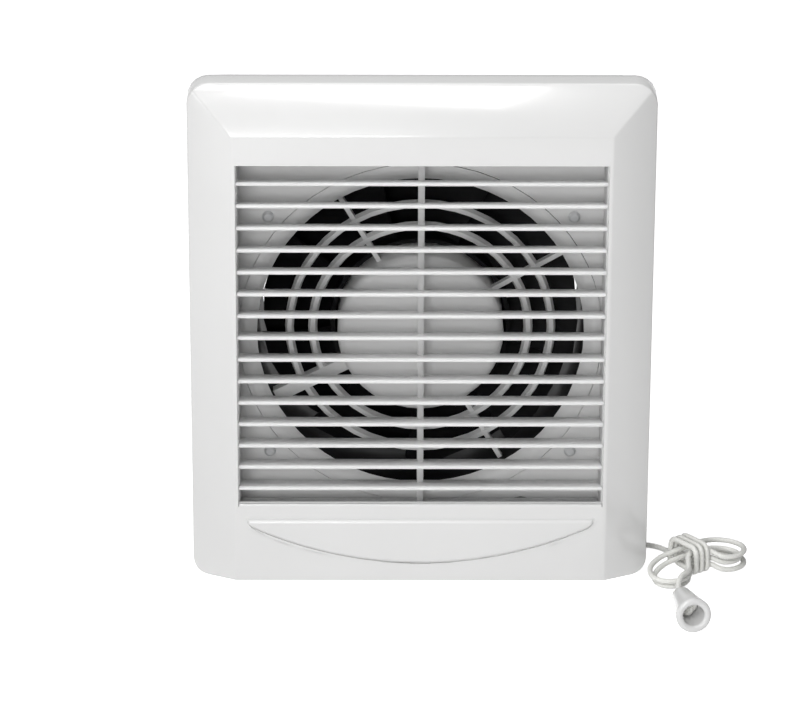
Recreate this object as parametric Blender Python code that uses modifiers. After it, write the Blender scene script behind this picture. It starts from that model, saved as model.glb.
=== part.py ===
"""Bathroom exhaust fan with a louvred front cover, an axial impeller and a pull-cord switch.

Metres, +Z up. The front faces -Y, and the duct spigot points to +Y, towards the wall.
The origin is the middle of the fan's footprint, on the surface that the fan stands on.
Depths are measured backwards from the flat front panel; at(depth) turns one into a Y value.
"""

import math

import bmesh
import bpy
import numpy as np
from mathutils import Matrix, Vector

# Clearances between pieces
GAP = 0.0003
SHAFT_GAP = 0.0003
PRESS_GAP = 0.0001
TIP_GAP = 0.0012
TABLE_GAP = 0.00005
CUT_MARGIN = 0.0010
CUT_REACH = 0.0050

# Front cover
COVER_WIDTH = 0.2140
COVER_HEIGHT = 0.2440
SIDE_SLOPE = 0.02015
TOP_SLOPE = 0.0225
PANEL_WIDTH = COVER_WIDTH - 2 * SIDE_SLOPE
PANEL_HEIGHT = COVER_HEIGHT - TOP_SLOPE
CREST_DEPTH = 0.0100
COVER_DEPTH = 0.0225
COVER_WALL = 0.0022
TOP_CORNER = 0.0100
BOTTOM_CORNER = 0.0070
EDGE_ROUND = 0.0007
POST_X = PANEL_WIDTH / 2 + 0.00415
POST_HEIGHTS = (0.0560, COVER_HEIGHT - 0.0540)
POST_SIZE = 0.0040
POST_REACH = 0.0060

# Louvre grille
OPENING_MARGIN = 0.00165
OPENING_WIDTH = PANEL_WIDTH - 2 * OPENING_MARGIN
OPENING_BOTTOM = 0.0382
OPENING_TOP = PANEL_HEIGHT - 0.0138
SLAT_PITCH = 0.01081
LOWEST_SLAT = OPENING_BOTTOM + 0.0091
SLAT_COUNT = int((OPENING_TOP - LOWEST_SLAT) / SLAT_PITCH) + 1
SLAT_DEPTH = 0.0300
SLAT_FALL = 17.0
SLAT_NOSE = 0.0018
SLAT_TAIL = 0.0012
GRILLE_WALL = 0.0020
GRILLE_SETBACK = 0.0015
SILL_LIP = 0.0012
RIB_WIDTH = 0.0030
RIB_SETBACK = 0.0190

# Lens-shaped badge plate on the lower panel
BADGE_HALF_WIDTH = PANEL_WIDTH / 2 - 0.00565
BADGE_TOP = 0.0319
BADGE_HEIGHT = 0.0227
BADGE_PROUD = 0.0013
BADGE_SEAT = 0.0006
BADGE_ROUND = 0.0007
BADGE_FULLNESS = 0.68
BADGE_TIP_HEIGHT = 0.0013
BADGE_PEG_X = BADGE_HALF_WIDTH * 0.64
BADGE_PEG_RADIUS = 0.0015
NOTCH_WIDTH = 0.0095
NOTCH_DROP = 0.0011

# Base tray behind the cover
BASE_INSET = 0.0100
BASE_TOP_INSET = 0.0135
BASE_WALL = 0.0022
BASE_CORNER = 0.0060
BASE_RIM_DEPTH = 0.0160
PLATE_DEPTH = 0.0330
PLATE_WALL = 0.0022
WALL_PLANE = 0.0560
FLANGE_MARGIN = 0.0020
FLANGE_THICKNESS = 0.0024

# Fan tube with its bell mouth and spigot; guard of rings and bars round the motor cup
AXIS_HEIGHT = 0.1119
MOUTH_RADIUS = OPENING_WIDTH / 2 - PRESS_GAP
MOUTH_STEP = 0.0084
THROAT_RADIUS = MOUTH_RADIUS - MOUTH_STEP
TUBE_WALL = 0.0023
SPIGOT_RADIUS = THROAT_RADIUS + TUBE_WALL
SPIGOT_END = 0.1100
BELL_DEPTH = 0.0035
BELL_WIDTH = 0.0060
BELL_STEPS = 3
COLLAR_RADIUS = MOUTH_RADIUS + 0.0054
COLLAR_THICKNESS = 0.0026
EAR_REACH = MOUTH_RADIUS + 0.0073
EAR_ANGLES = (39.8, 140.2, 219.8, 320.2)
EAR_RADIUS = 0.0055
EAR_STEP = 0.0004
TUBE_SCREW_HEAD = 0.0028
SCREW_HEAD_HEIGHT = 0.0016
SCREW_HEAD_ROUND = 0.0010
SCREW_POINT = 0.0010
GUARD_DEPTH = 0.0408
GUARD_THICKNESS = 0.0030
GUARD_CROWN = 0.25
GUARD_RINGS = ((THROAT_RADIUS * 0.661, 0.0043), (THROAT_RADIUS * 0.803, 0.0041))
STRUT_ANGLES = (30.0, 120.0, 300.0)
STRUT_WIDTH = 0.0022
STRUT_SETBACK = 0.0004
STRUT_EXTRA_DEPTH = 0.0012
CHANNEL_ANGLE = 207.0
CHANNEL_WIDTH = 0.0062
CHANNEL_THICKNESS = 0.0052
CHANNEL_WALL = 0.0012
CUP_RADIUS = 0.0390
CUP_WALL = 0.0020
CUP_ROUND = 0.0040
CUP_END = 0.0600

# Shaded-pole motor
STACK_DEPTH = 0.0436
STACK_LENGTH = 0.0150
STACK_HALF_WIDTH = 0.0200
STACK_TOP = 0.0160
POLE_BOTTOM = -0.0140
LEG_TOP = -0.0220
STACK_BOTTOM = -0.0290
WINDOW_HALF_WIDTH = 0.0135
ROTOR_RADIUS = 0.0110
ROTOR_GAP = 0.0004
COIL_OVERHANG = 0.0045
COIL_BUILD = 0.0040
COIL_ROUND = 0.0020
BRIDGE_THICKNESS = 0.0015
BRIDGE_RISE = 0.0045
BRIDGE_WIDTH = 0.0120
BRIDGE_SHOULDER = 0.0098
BRIDGE_FOOT = 0.0080
SHAFT_RADIUS = 0.0020
SHAFT_START = 0.0362
SHAFT_END = 0.0885
BEARING_RADIUS = 0.0040
BEARING_LENGTH = 0.0050
MOTOR_SCREW_X = 0.0155
MOTOR_SCREW_RISE = 0.0118
MOTOR_SCREW_RADIUS = 0.0014
MOTOR_SCREW_HEAD = 0.0026
MOTOR_BOSS_RADIUS = 0.0036

# Impeller
HUB_RADIUS = CUP_RADIUS + 0.0035
HUB_FRONT = 0.0480
HUB_END = 0.0740
HUB_WALL = 0.0020
HUB_BOSS_RADIUS = 0.0055
HUB_BOSS_END = 0.0820
BLADE_COUNT = 9
BLADE_THICKNESS = 0.0016
BLADE_ROOT_CHORD = 0.0440
BLADE_TIP_CHORD = THROAT_RADIUS * 0.92
BLADE_MIDDLE = 0.0626
BLADE_ROOT_PITCH = 28.0
BLADE_TIP_PITCH = 22.0
BLADE_CAMBER = 0.0022
BLADE_START = 12.0
NUT_RADIUS = 0.0045
NUT_THICKNESS = 0.0045

# Pull-cord switch in the base's lower right corner
CORD_DIAMETER = 0.0027
CORD_X = COVER_WIDTH / 2 - 0.0210
CORD_DEPTH = 0.0430
SWITCH_WIDTH = 0.0150
SWITCH_DEPTH = 0.0130
SWITCH_HEIGHT = 0.0235
SWITCH_CLEARANCE = 0.0026
SWITCH_WALL = 0.0015
PLUNGER_RADIUS = 0.0028
PLUNGER_FLANGE = 0.0044
PLUNGER_REACH = 0.0030
PLUNGER_FLANGE_THICKNESS = 0.0025
SWITCH_TRAVEL = 0.0060
SPRING_RADIUS = 0.0037
SPRING_WIRE = 0.0005
SPRING_TURNS = 5
EYELET_BORE = 0.0019
EYELET_RADIUS = 0.0030
EYELET_FLANGE = 0.0045
EYELET_LIP = 0.0012

# Pull cord: places are (x from CORD_X, depth, height); the hank lies on its bent middle line
CORD_ROUTE = ((0.0003, 0.0429, 0.0055), (0.0020, 0.0427, 0.0030), (0.0055, 0.0421, 0.0017),
              (0.0120, 0.0405, 0.0014), (0.0220, 0.0382, 0.0014), (0.0290, 0.0364, 0.0014),
              (0.0350, 0.0326, 0.0014), (0.0405, 0.0277, 0.0016), (0.0460, 0.0240, 0.0021))
TAIL_ROUTE = ((0.0353, -0.0122, 0.0085), (0.0346, -0.0170, 0.0058))
HANK_MIDDLE = (0.0418, 0.0132)
HANK_HEADING = 36.0
HANK_BEND = 122.0
HANK_ARC = 0.0340
HANK_STRAIGHT = 0.0045
HANK_HALF_RUN = 0.0176
HANK_FOLD_RADIUS = 0.0080
HANK_FOLD_PITCH = 0.0034
HANK_WAIST = 0.0021
HANK_WAIST_PITCH = 0.0012
HANK_LAYER = 0.0033
HANK_LIFT = 0.0035
HANK_LAYERS = 3
HANK_START = 0.09
HANK_END = 2.64
HANK_POINTS_A_TURN = 24
WRAP_TURNS = 3
WRAP_HALF_WIDTH = 0.0053
PULL_NECK = (0.0347, -0.0218)
PULL_HEADING = -82.0
PULL_LENGTH = 0.0345
PULL_SHOULDER = 0.0065
PULL_SHOULDER_RADIUS = 0.0050
PULL_MOUTH_RADIUS = 0.00825
PULL_BORE_RADIUS = 0.0049
PULL_BORE_DEPTH = 0.0170
PULL_LIP = 0.0015

# Wiring: x is measured from the fan's axis, the cord or the base's left side
LEFT_SIDE = BASE_INSET - COVER_WIDTH / 2
TERMINAL_X = LEFT_SIDE + 0.0370
TERMINAL_WIDTH = 0.0300
TERMINAL_HEIGHT = 0.0105
TERMINAL_DEPTH = 0.0080
TERMINAL_BOTTOM = 0.0140
TERMINAL_POLES = 3
TERMINAL_WELL = 0.0022
TERMINAL_GAP = 0.0012
LEAD_RADIUS = 0.0012
MOTOR_LEAD_START = ((-0.0136, 0.0612, -0.0269), (-0.0180, 0.0614, -0.0264),
                    (-0.0240, 0.0600, -0.0224), (-0.0262, 0.0540, -0.0164),
                    (-0.0290, 0.0465, -0.0148))
MOTOR_LEAD_EXIT = 0.0095
MOTOR_LEAD_END = ((0.0125, 0.0445, 0.0600), (0.0115, 0.0445, 0.0450), (0.0130, 0.0440, 0.0320),
                  (0.0150, 0.0410, 0.0252), (0.0150, 0.0360, 0.0246), (0.0150, 0.0330, 0.0244),
                  (0.0160, 0.0302, 0.0230), (0.0185, 0.0290, 0.0215), (0.0214, 0.0290, 0.0215))
SWITCH_LEAD_START = ((-0.0012, 0.0435, 0.0548), (-0.0065, 0.0445, 0.0562),
                     (-0.0105, 0.0455, 0.0522), (-0.0115, 0.0460, 0.0440),
                     (-0.0115, 0.0460, 0.0280), (-0.0138, 0.0460, 0.0190),
                     (-0.0200, 0.0460, 0.0152), (-0.0460, 0.0460, 0.0148))
SWITCH_LEAD_END = ((0.0570, 0.0460, 0.0148), (0.0290, 0.0460, 0.0152), (0.0200, 0.0455, 0.0168),
                   (0.0158, 0.0440, 0.0198), (0.0150, 0.0405, 0.0214), (0.0150, 0.0360, 0.0216),
                   (0.0150, 0.0330, 0.0214), (0.0160, 0.0302, 0.0196), (0.0185, 0.0290, 0.0171),
                   (0.0214, 0.0290, 0.0171))
LEAD_HOLE = (LEFT_SIDE + 0.0150, 0.0230)
LEAD_HOLE_RADIUS = 0.0045
GROMMET_CLEARANCE = 0.0043
GROMMET_HEIGHT = 0.0215
GROMMET_RADIUS = 0.0060
GROMMET_BORE = 0.0035
GROMMET_FLANGE = 0.0075
GROMMET_LIP = 0.0012

# Worked out from the sizes above
TOTAL_DEPTH = SPIGOT_END + BADGE_PROUD
FRONT_Y = BADGE_PROUD - TOTAL_DEPTH / 2
BASE_HALF_WIDTH = -LEFT_SIDE
BASE_BOTTOM = BASE_INSET
BASE_TOP = COVER_HEIGHT - BASE_TOP_INSET
COLLAR_FRONT = PLATE_DEPTH + PLATE_WALL + GAP
COLLAR_BACK = COLLAR_FRONT + COLLAR_THICKNESS
STACK_BACK = STACK_DEPTH + STACK_LENGTH
BORE_RADIUS = ROTOR_RADIUS + ROTOR_GAP
BLADE_TIP_RADIUS = THROAT_RADIUS - TIP_GAP
GROMMET_REACH = COLLAR_RADIUS + GROMMET_FLANGE + GROMMET_CLEARANCE
GROMMET_X = math.sqrt(max(0.0, GROMMET_REACH ** 2 - (AXIS_HEIGHT - GROMMET_HEIGHT) ** 2))
SWITCH_BOTTOM = (BASE_BOTTOM + BASE_WALL + EYELET_LIP + SWITCH_CLEARANCE + SWITCH_TRAVEL
                 + PLUNGER_REACH)
SWITCH_TOP = SWITCH_BOTTOM + SWITCH_HEIGHT
PULL_BODY = PULL_LENGTH - PULL_LIP - PULL_SHOULDER
PULL_SPREAD = PULL_MOUTH_RADIUS - PULL_SHOULDER_RADIUS
PULL_TILT = math.atan2(PULL_SPREAD, PULL_BODY)
PULL_NECK_HEIGHT = (PULL_SHOULDER_RADIUS * math.cos(PULL_TILT)
                    - PULL_SHOULDER * math.sin(PULL_TILT) + TABLE_GAP)
RING_STEPS = 60
ROUND_STEPS = 24

SCENE = bpy.context.scene


def at(depth):
    """Y of a place this far behind the front panel."""
    return FRONT_Y + depth


def clear_scene():
    for thing in list(bpy.data.objects):
        bpy.data.objects.remove(thing, do_unlink=True)


def collection(name):
    made = bpy.data.collections.new(name)
    SCENE.collection.children.link(made)
    return made


def material(name, colour, roughness, metallic=0.0):
    made = bpy.data.materials.new(name)
    made.use_nodes = True
    shader = made.node_tree.nodes["Principled BSDF"]
    shader.inputs["Base Color"].default_value = (*colour, 1.0)
    shader.inputs["Roughness"].default_value = roughness
    shader.inputs["Metallic"].default_value = metallic
    return made


clear_scene()
PARTS = collection("exhaust_fan")
CUTTERS = collection("cutters")
WHITE = material("white_abs", (0.84, 0.84, 0.83), 0.22)
INNER_WHITE = material("inner_abs", (0.72, 0.72, 0.71), 0.35)
BLACK = material("impeller_black", (0.02, 0.02, 0.02), 0.45)
STEEL = material("steel", (0.55, 0.56, 0.58), 0.35, 1.0)
LAMINATION = material("laminated_steel", (0.30, 0.31, 0.33), 0.45, 1.0)
COPPER = material("coil_tape", (0.62, 0.40, 0.12), 0.55)
BRONZE = material("bearing_bronze", (0.60, 0.42, 0.22), 0.40, 1.0)
NYLON = material("nylon", (0.80, 0.80, 0.76), 0.50)
CORD = material("cord", (0.86, 0.85, 0.80), 0.75)
RUBBER = material("grey_rubber", (0.25, 0.25, 0.25), 0.80)


def add_object(name, mesh, finish):
    made = bpy.data.objects.new(name, mesh)
    PARTS.objects.link(made)
    if finish:
        mesh.materials.append(finish)
    return made


def from_bmesh(name, bm, finish):
    bmesh.ops.recalc_face_normals(bm, faces=bm.faces[:])
    mesh = bpy.data.meshes.new(name)
    bm.to_mesh(mesh)
    bm.free()
    return add_object(name, mesh, finish)


def box(name, xs, depths, zs, finish=None):
    """A block between two X values, two depths and two heights."""
    bm = bmesh.new()
    size = (xs[1] - xs[0], depths[1] - depths[0], zs[1] - zs[0])
    middle = (sum(xs) / 2, at(sum(depths) / 2), sum(zs) / 2)
    place = Matrix.Translation(middle) @ Matrix.Diagonal((*size, 1.0))
    bmesh.ops.create_cube(bm, size=1.0, matrix=place)
    return from_bmesh(name, bm, finish)


def extruded(name, outline, depths, finish=None):
    """An outline of (x, z) points drawn from one depth to another."""
    bm = bmesh.new()
    face = bm.faces.new([bm.verts.new((x, at(depths[0]), z)) for x, z in outline])
    grown = bmesh.ops.extrude_face_region(bm, geom=[face])
    moved = [v for v in grown["geom"] if isinstance(v, bmesh.types.BMVert)]
    bmesh.ops.translate(bm, verts=moved, vec=(0, depths[1] - depths[0], 0))
    return from_bmesh(name, bm, finish)


def side_profile(name, outline, xs, finish=None):
    """An outline of (depth, z) points drawn from one X value to another."""
    bm = bmesh.new()
    face = bm.faces.new([bm.verts.new((xs[0], at(d), z)) for d, z in outline])
    grown = bmesh.ops.extrude_face_region(bm, geom=[face])
    moved = [v for v in grown["geom"] if isinstance(v, bmesh.types.BMVert)]
    bmesh.ops.translate(bm, verts=moved, vec=(xs[1] - xs[0], 0, 0))
    return from_bmesh(name, bm, finish)


def along_depth(x, z):
    """Places a turned shape with its axis along Y, so that its heights become depths."""
    turn = Matrix.Rotation(math.radians(-90.0), 4, "X")
    return Matrix.Translation((x, FRONT_Y, z)) @ turn


def standing(x, depth):
    """Places a turned shape with its axis along Z."""
    return Matrix.Translation((x, at(depth), 0.0))


FAN_AXIS = along_depth(0.0, AXIS_HEIGHT)


def turned(name, profile, steps, place=FAN_AXIS, finish=None):
    """A closed profile of (radius, height) points turned about Z and then put in its place."""
    mesh = bpy.data.meshes.new(name)
    corners = [(radius, 0.0, along) for radius, along in profile]
    count = len(corners)
    mesh.from_pydata(corners, [(i, (i + 1) % count) for i in range(count)], [])
    shape = add_object(name, mesh, None)
    screw = shape.modifiers.new("turn", "SCREW")
    screw.steps = steps
    screw.render_steps = steps
    screw.use_merge_vertices = True
    screw.merge_threshold = 0.00001
    graph = bpy.context.evaluated_depsgraph_get()
    spun = bpy.data.meshes.new_from_object(shape.evaluated_get(graph))
    bpy.data.objects.remove(shape)
    bm = bmesh.new()
    bm.from_mesh(spun)
    bmesh.ops.remove_doubles(bm, verts=bm.verts[:], dist=0.00001)
    bmesh.ops.dissolve_degenerate(bm, edges=bm.edges[:], dist=0.000001)
    bmesh.ops.transform(bm, matrix=place, verts=bm.verts[:])
    return from_bmesh(name, bm, finish)


def rod(name, radius, depths, steps=ROUND_STEPS, centre=(0.0, AXIS_HEIGHT), finish=None):
    """A round bar along Y."""
    profile = [(0.0, depths[0]), (radius, depths[0]), (radius, depths[1]), (0.0, depths[1])]
    return turned(name, profile, steps, along_depth(*centre), finish)


def use(target, tool, operation):
    """Joins a shape to the target, or cuts it away; the shape becomes a hidden helper."""
    change = target.modifiers.new(tool.name, "BOOLEAN")
    change.object = tool
    change.operation = operation
    change.solver = "EXACT"
    for group in list(tool.users_collection):
        group.objects.unlink(tool)
    CUTTERS.objects.link(tool)
    tool.hide_render = True
    tool.display_type = "WIRE"


def cut(target, *tools):
    for tool in tools:
        use(target, tool, "DIFFERENCE")


def join(target, *tools):
    for tool in tools:
        use(target, tool, "UNION")


def round_edges(target, width, limit, segments=2):
    bevel = target.modifiers.new("soft_edges", "BEVEL")
    bevel.width = width
    bevel.segments = segments
    bevel.limit_method = "ANGLE"
    bevel.angle_limit = math.radians(limit)


def settle(target):
    """Bakes the modifiers so far, so that later joins start from a plain mesh."""
    graph = bpy.context.evaluated_depsgraph_get()
    mesh = bpy.data.meshes.new_from_object(target.evaluated_get(graph))
    target.modifiers.clear()
    target.data = mesh


def arc(centre, radius, start, end, count):
    """Points on an arc, in degrees, both ends included."""
    turns = [math.radians(start + (end - start) * i / (count - 1)) for i in range(count)]
    return [(centre[0] + radius * math.cos(t), centre[1] + radius * math.sin(t)) for t in turns]


def rounded_outline(half_width, bottom, top, low_radius, high_radius, count=6):
    """A rectangle of (x, z) points with rounded corners."""
    x_low = half_width - low_radius
    x_high = half_width - high_radius
    return (arc((x_low, bottom + low_radius), low_radius, -90, 0, count)
            + arc((x_high, top - high_radius), high_radius, 0, 90, count)
            + arc((-x_high, top - high_radius), high_radius, 90, 180, count)
            + arc((-x_low, bottom + low_radius), low_radius, 180, 270, count))


def slope_planes(inset):
    """Points and outward normals of the cover's three sloping faces, moved inwards by inset."""
    side = Vector((CREST_DEPTH, -(COVER_WIDTH - PANEL_WIDTH) / 2, 0.0)).normalized()
    top = Vector((0.0, -(COVER_HEIGHT - PANEL_HEIGHT), CREST_DEPTH)).normalized()
    planes = []
    for normal, place in (
        (side, Vector((PANEL_WIDTH / 2, at(0.0), 0.0))),
        (Vector((-side.x, side.y, 0.0)), Vector((-PANEL_WIDTH / 2, at(0.0), 0.0))),
        (top, Vector((0.0, at(0.0), PANEL_HEIGHT))),
    ):
        planes.append((place - normal * inset, normal))
    return planes


def cover_form(name, inset, back, finish=None):
    """The cover's outer form, or with an inset the hollow inside it."""
    outline = rounded_outline(COVER_WIDTH / 2 - inset, inset, COVER_HEIGHT - inset,
                              BOTTOM_CORNER - inset, TOP_CORNER - inset)
    shape = extruded(name, outline, (inset, back), finish)
    bm = bmesh.new()
    bm.from_mesh(shape.data)
    for point, normal in slope_planes(inset):
        parts = bm.verts[:] + bm.edges[:] + bm.faces[:]
        sliced = bmesh.ops.bisect_plane(bm, geom=parts, plane_co=point, plane_no=normal,
                                        dist=0.0000001, clear_outer=True)
        rim = [e for e in sliced["geom_cut"] if isinstance(e, bmesh.types.BMEdge)]
        bmesh.ops.edgeloop_fill(bm, edges=rim)
    bmesh.ops.recalc_face_normals(bm, faces=bm.faces[:])
    bm.to_mesh(shape.data)
    bm.free()
    return shape


def badge_outline(margin=0.0, count=13):
    """Straight top edge, full curved lower edge and blunt tips, as (x, z) points."""
    half = BADGE_HALF_WIDTH + margin
    points = []
    for i in range(count):
        side = math.sin(math.radians(-90.0 + 180.0 * i / (count - 1)))
        curve = max(0.0, 1.0 - side * side) ** BADGE_FULLNESS
        fall = BADGE_TIP_HEIGHT + (BADGE_HEIGHT - BADGE_TIP_HEIGHT) * curve
        points.append((half * side, BADGE_TOP - fall - margin))
    return points + [(half, BADGE_TOP + margin), (-half, BADGE_TOP + margin)]


def make_front_cover():
    cover = cover_form("front_cover", 0.0, COVER_DEPTH, WHITE)
    round_edges(cover, EDGE_ROUND, 20)
    settle(cover)
    cut(cover, cover_form("cover_hollow", COVER_WALL, COVER_DEPTH + POST_REACH))
    half = OPENING_WIDTH / 2
    cut(cover, box("cover_opening", (-half, half), (-CUT_REACH, COVER_WALL + CUT_REACH),
                   (OPENING_BOTTOM, OPENING_TOP)))
    cut(cover, extruded("badge_seat", badge_outline(GAP), (-CUT_REACH, BADGE_SEAT + GAP)))
    for side in (-1, 1):
        peg_place = (side * BADGE_PEG_X, BADGE_TOP - BADGE_HEIGHT / 4)
        cut(cover, rod(f"badge_peg_hole_{side}", BADGE_PEG_RADIUS + GAP,
                       (-CUT_MARGIN, COVER_WALL + CUT_REACH), 16, peg_place))
    notch_z = BADGE_TOP - BADGE_HEIGHT - GAP
    cut(cover, box("release_notch", (-NOTCH_WIDTH / 2, NOTCH_WIDTH / 2),
                   (-CUT_MARGIN, BADGE_PROUD), (notch_z - NOTCH_DROP, notch_z + NOTCH_DROP)))
    slope = CREST_DEPTH / ((COVER_WIDTH - PANEL_WIDTH) / 2)
    root = slope * (POST_X - PANEL_WIDTH / 2) + COVER_WALL / 2
    for side in (-1, 1):
        for level, height in enumerate(POST_HEIGHTS):
            middle = side * POST_X
            reach = PLATE_DEPTH + PLATE_WALL + POST_REACH
            join(cover, box(f"cover_post_{side}_{level}",
                            (middle - POST_SIZE / 2, middle + POST_SIZE / 2), (root, reach),
                            (height - POST_SIZE, height + POST_SIZE)))
    return cover


def slat_outline(nose_z):
    """A slat's section: round nose flush with the panel, falling away towards the back."""
    fall = math.tan(math.radians(SLAT_FALL))
    nose = SLAT_NOSE / 2
    tail = SLAT_TAIL / 2
    end_z = nose_z - fall * SLAT_DEPTH
    front = arc((nose, nose_z), nose, 270, 90, 5)
    return front + [(SLAT_DEPTH, end_z + tail), (SLAT_DEPTH, end_z - tail)]


def make_grille():
    half = OPENING_WIDTH / 2 - 2 * GAP
    front = COVER_WALL + GAP
    back = PLATE_DEPTH - GRILLE_SETBACK
    wide = (front - CUT_MARGIN, back + CUT_MARGIN)
    fall = math.tan(math.radians(SLAT_FALL))
    sill_top = OPENING_BOTTOM + GAP
    grille = box("louvre_grille", (-half - GRILLE_WALL, half + GRILLE_WALL), (front, back),
                 (sill_top - fall * back - 2 * GRILLE_WALL, OPENING_TOP + GRILLE_WALL), WHITE)
    floor = [(wide[0], sill_top - fall * wide[0]), (wide[1], sill_top - fall * wide[1]),
             (wide[1], OPENING_TOP - GAP), (wide[0], OPENING_TOP - GAP)]
    cut(grille, side_profile("grille_well", floor, (-half, half)))
    under = [(wide[0], sill_top - fall * wide[0] - GRILLE_WALL),
             (wide[1], sill_top - fall * wide[1] - GRILLE_WALL), (wide[1], 0.0), (wide[0], 0.0)]
    cut(grille, side_profile("grille_underside", under, (-half - CUT_REACH, half + CUT_REACH)))
    join(grille, side_profile("sill_lip", [
        (GAP, OPENING_BOTTOM + GAP), (GAP, OPENING_BOTTOM + GAP + SILL_LIP),
        (front + SILL_LIP, OPENING_BOTTOM + GAP + SILL_LIP / 2),
        (front + SILL_LIP, sill_top - fall * (front + SILL_LIP) - GRILLE_WALL / 2),
        (front + GAP, OPENING_BOTTOM + GAP - SILL_LIP / 2), (front + GAP, OPENING_BOTTOM + GAP)],
        (-half, half)))
    for index in range(SLAT_COUNT):
        nose_z = LOWEST_SLAT + SLAT_PITCH * index
        join(grille, side_profile(f"slat_{index}", slat_outline(nose_z),
                                  (-half - GAP / 2, half + GAP / 2)))
    join(grille, box("centre_rib", (-RIB_WIDTH / 2, RIB_WIDTH / 2),
                     (RIB_SETBACK, SLAT_DEPTH - SLAT_TAIL / 2),
                     (sill_top - fall * SLAT_DEPTH - GRILLE_WALL / 2,
                      OPENING_TOP + GRILLE_WALL / 2)))
    return grille


def make_badge():
    badge = extruded("badge_plate", badge_outline(), (-BADGE_PROUD, BADGE_SEAT), WHITE)
    round_edges(badge, BADGE_ROUND, 40)
    settle(badge)
    for side in (-1, 1):
        join(badge, rod(f"badge_peg_{side}", BADGE_PEG_RADIUS, (0.0, COVER_WALL + CUT_MARGIN), 16,
                        (side * BADGE_PEG_X, BADGE_TOP - BADGE_HEIGHT / 4)))
    return badge


def tray_outline(inset):
    low = BASE_CORNER - inset
    return rounded_outline(BASE_HALF_WIDTH - inset, BASE_BOTTOM + inset, BASE_TOP - inset,
                           low, low, 4)


def ear_places():
    turns = [math.radians(angle) for angle in EAR_ANGLES]
    return [(EAR_REACH * math.cos(t), AXIS_HEIGHT + EAR_REACH * math.sin(t)) for t in turns]


def make_base():
    base = extruded("base_housing", tray_outline(0.0), (BASE_RIM_DEPTH, WALL_PLANE), INNER_WHITE)
    foot = rounded_outline(BASE_HALF_WIDTH + FLANGE_MARGIN, 0.0, BASE_TOP + FLANGE_MARGIN,
                           BASE_CORNER, BASE_CORNER, 4)
    join(base, extruded("wall_flange", foot, (WALL_PLANE - FLANGE_THICKNESS, WALL_PLANE)))
    inner = tray_outline(BASE_WALL)
    cut(base, extruded("front_pocket", inner, (BASE_RIM_DEPTH - CUT_REACH, PLATE_DEPTH)))
    cut(base, extruded("rear_pocket", inner, (PLATE_DEPTH + PLATE_WALL, WALL_PLANE + CUT_REACH)))
    through = (PLATE_DEPTH - CUT_MARGIN, PLATE_DEPTH + PLATE_WALL + CUT_MARGIN)
    cut(base, rod("mouth_hole", MOUTH_RADIUS + GAP, through, RING_STEPS))
    for index, place in enumerate(ear_places()):
        cut(base, rod(f"ear_screw_hole_{index}", MOTOR_SCREW_RADIUS + GAP, through, 12, place))
    for side in (-1, 1):
        for level, height in enumerate(POST_HEIGHTS):
            middle = side * POST_X
            half = POST_SIZE / 2 + GAP
            cut(base, box(f"post_slot_{side}_{level}", (middle - half, middle + half), through,
                          (height - POST_SIZE - GAP, height + POST_SIZE + GAP)))
    cut(base, rod("lead_hole", LEAD_HOLE_RADIUS, through, 16, LEAD_HOLE))
    cut(base, rod("grommet_hole", GROMMET_RADIUS + GAP, through, ROUND_STEPS,
                  (GROMMET_X, GROMMET_HEIGHT)))
    low = BASE_BOTTOM - CUT_MARGIN
    high = BASE_BOTTOM + BASE_WALL + CUT_MARGIN
    bottom = [(0.0, low), (EYELET_RADIUS + GAP, low), (EYELET_RADIUS + GAP, high), (0.0, high)]
    cut(base, turned("eyelet_hole", bottom, 16, standing(CORD_X, CORD_DEPTH)))
    return base


def ring(name, middle, width, depths, steps=48):
    """A guard ring whose front edge is narrower than its back."""
    crown = width * GUARD_CROWN
    inner = middle - width / 2
    outer = middle + width / 2
    profile = [(inner, depths[1]), (middle - crown, depths[0]),
               (middle + crown, depths[0]), (outer, depths[1])]
    return turned(name, profile, steps)


def spoke(name, angle, width, radii, depths):
    """A straight bar from the cup towards the throat, at an angle seen from the front."""
    bm = bmesh.new()
    size = (radii[1] - radii[0], depths[1] - depths[0], width)
    bmesh.ops.create_cube(bm, size=1.0, matrix=Matrix.Diagonal((*size, 1.0)))
    outwards = Matrix.Translation(((radii[0] + radii[1]) / 2, 0.0, 0.0))
    turn = Matrix.Rotation(math.radians(-angle), 4, "Y")
    place = Matrix.Translation((0.0, at(sum(depths) / 2), AXIS_HEIGHT))
    bmesh.ops.transform(bm, matrix=place @ turn @ outwards, verts=bm.verts[:])
    return from_bmesh(name, bm, None)


def make_tube():
    mouth = []
    for step in range(BELL_STEPS + 1):
        share = step / BELL_STEPS
        mouth.append((THROAT_RADIUS + BELL_WIDTH * share,
                      PLATE_DEPTH + BELL_DEPTH * (1.0 - share) ** 2))
    profile = [(THROAT_RADIUS, SPIGOT_END)] + mouth + [
        (MOUTH_RADIUS, PLATE_DEPTH), (MOUTH_RADIUS, COLLAR_FRONT),
        (COLLAR_RADIUS, COLLAR_FRONT), (COLLAR_RADIUS, COLLAR_BACK),
        (SPIGOT_RADIUS, COLLAR_BACK), (SPIGOT_RADIUS, SPIGOT_END)]
    tube = turned("fan_tube", profile, RING_STEPS, finish=INNER_WHITE)
    ear_depths = (COLLAR_FRONT + EAR_STEP, COLLAR_BACK + EAR_STEP)
    for index, (x, z) in enumerate(ear_places()):
        join(tube, rod(f"ear_{index}", EAR_RADIUS, ear_depths, 16, (x, z)))
    for index, place in enumerate(ear_places()):
        cut(tube, rod(f"ear_thread_{index}", MOTOR_SCREW_RADIUS + GAP,
                      (COLLAR_FRONT - CUT_MARGIN, COLLAR_BACK + 2 * CUT_MARGIN), 12, place))
    cut(tube, channel_groove("lead_slot"))
    return tube


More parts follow.
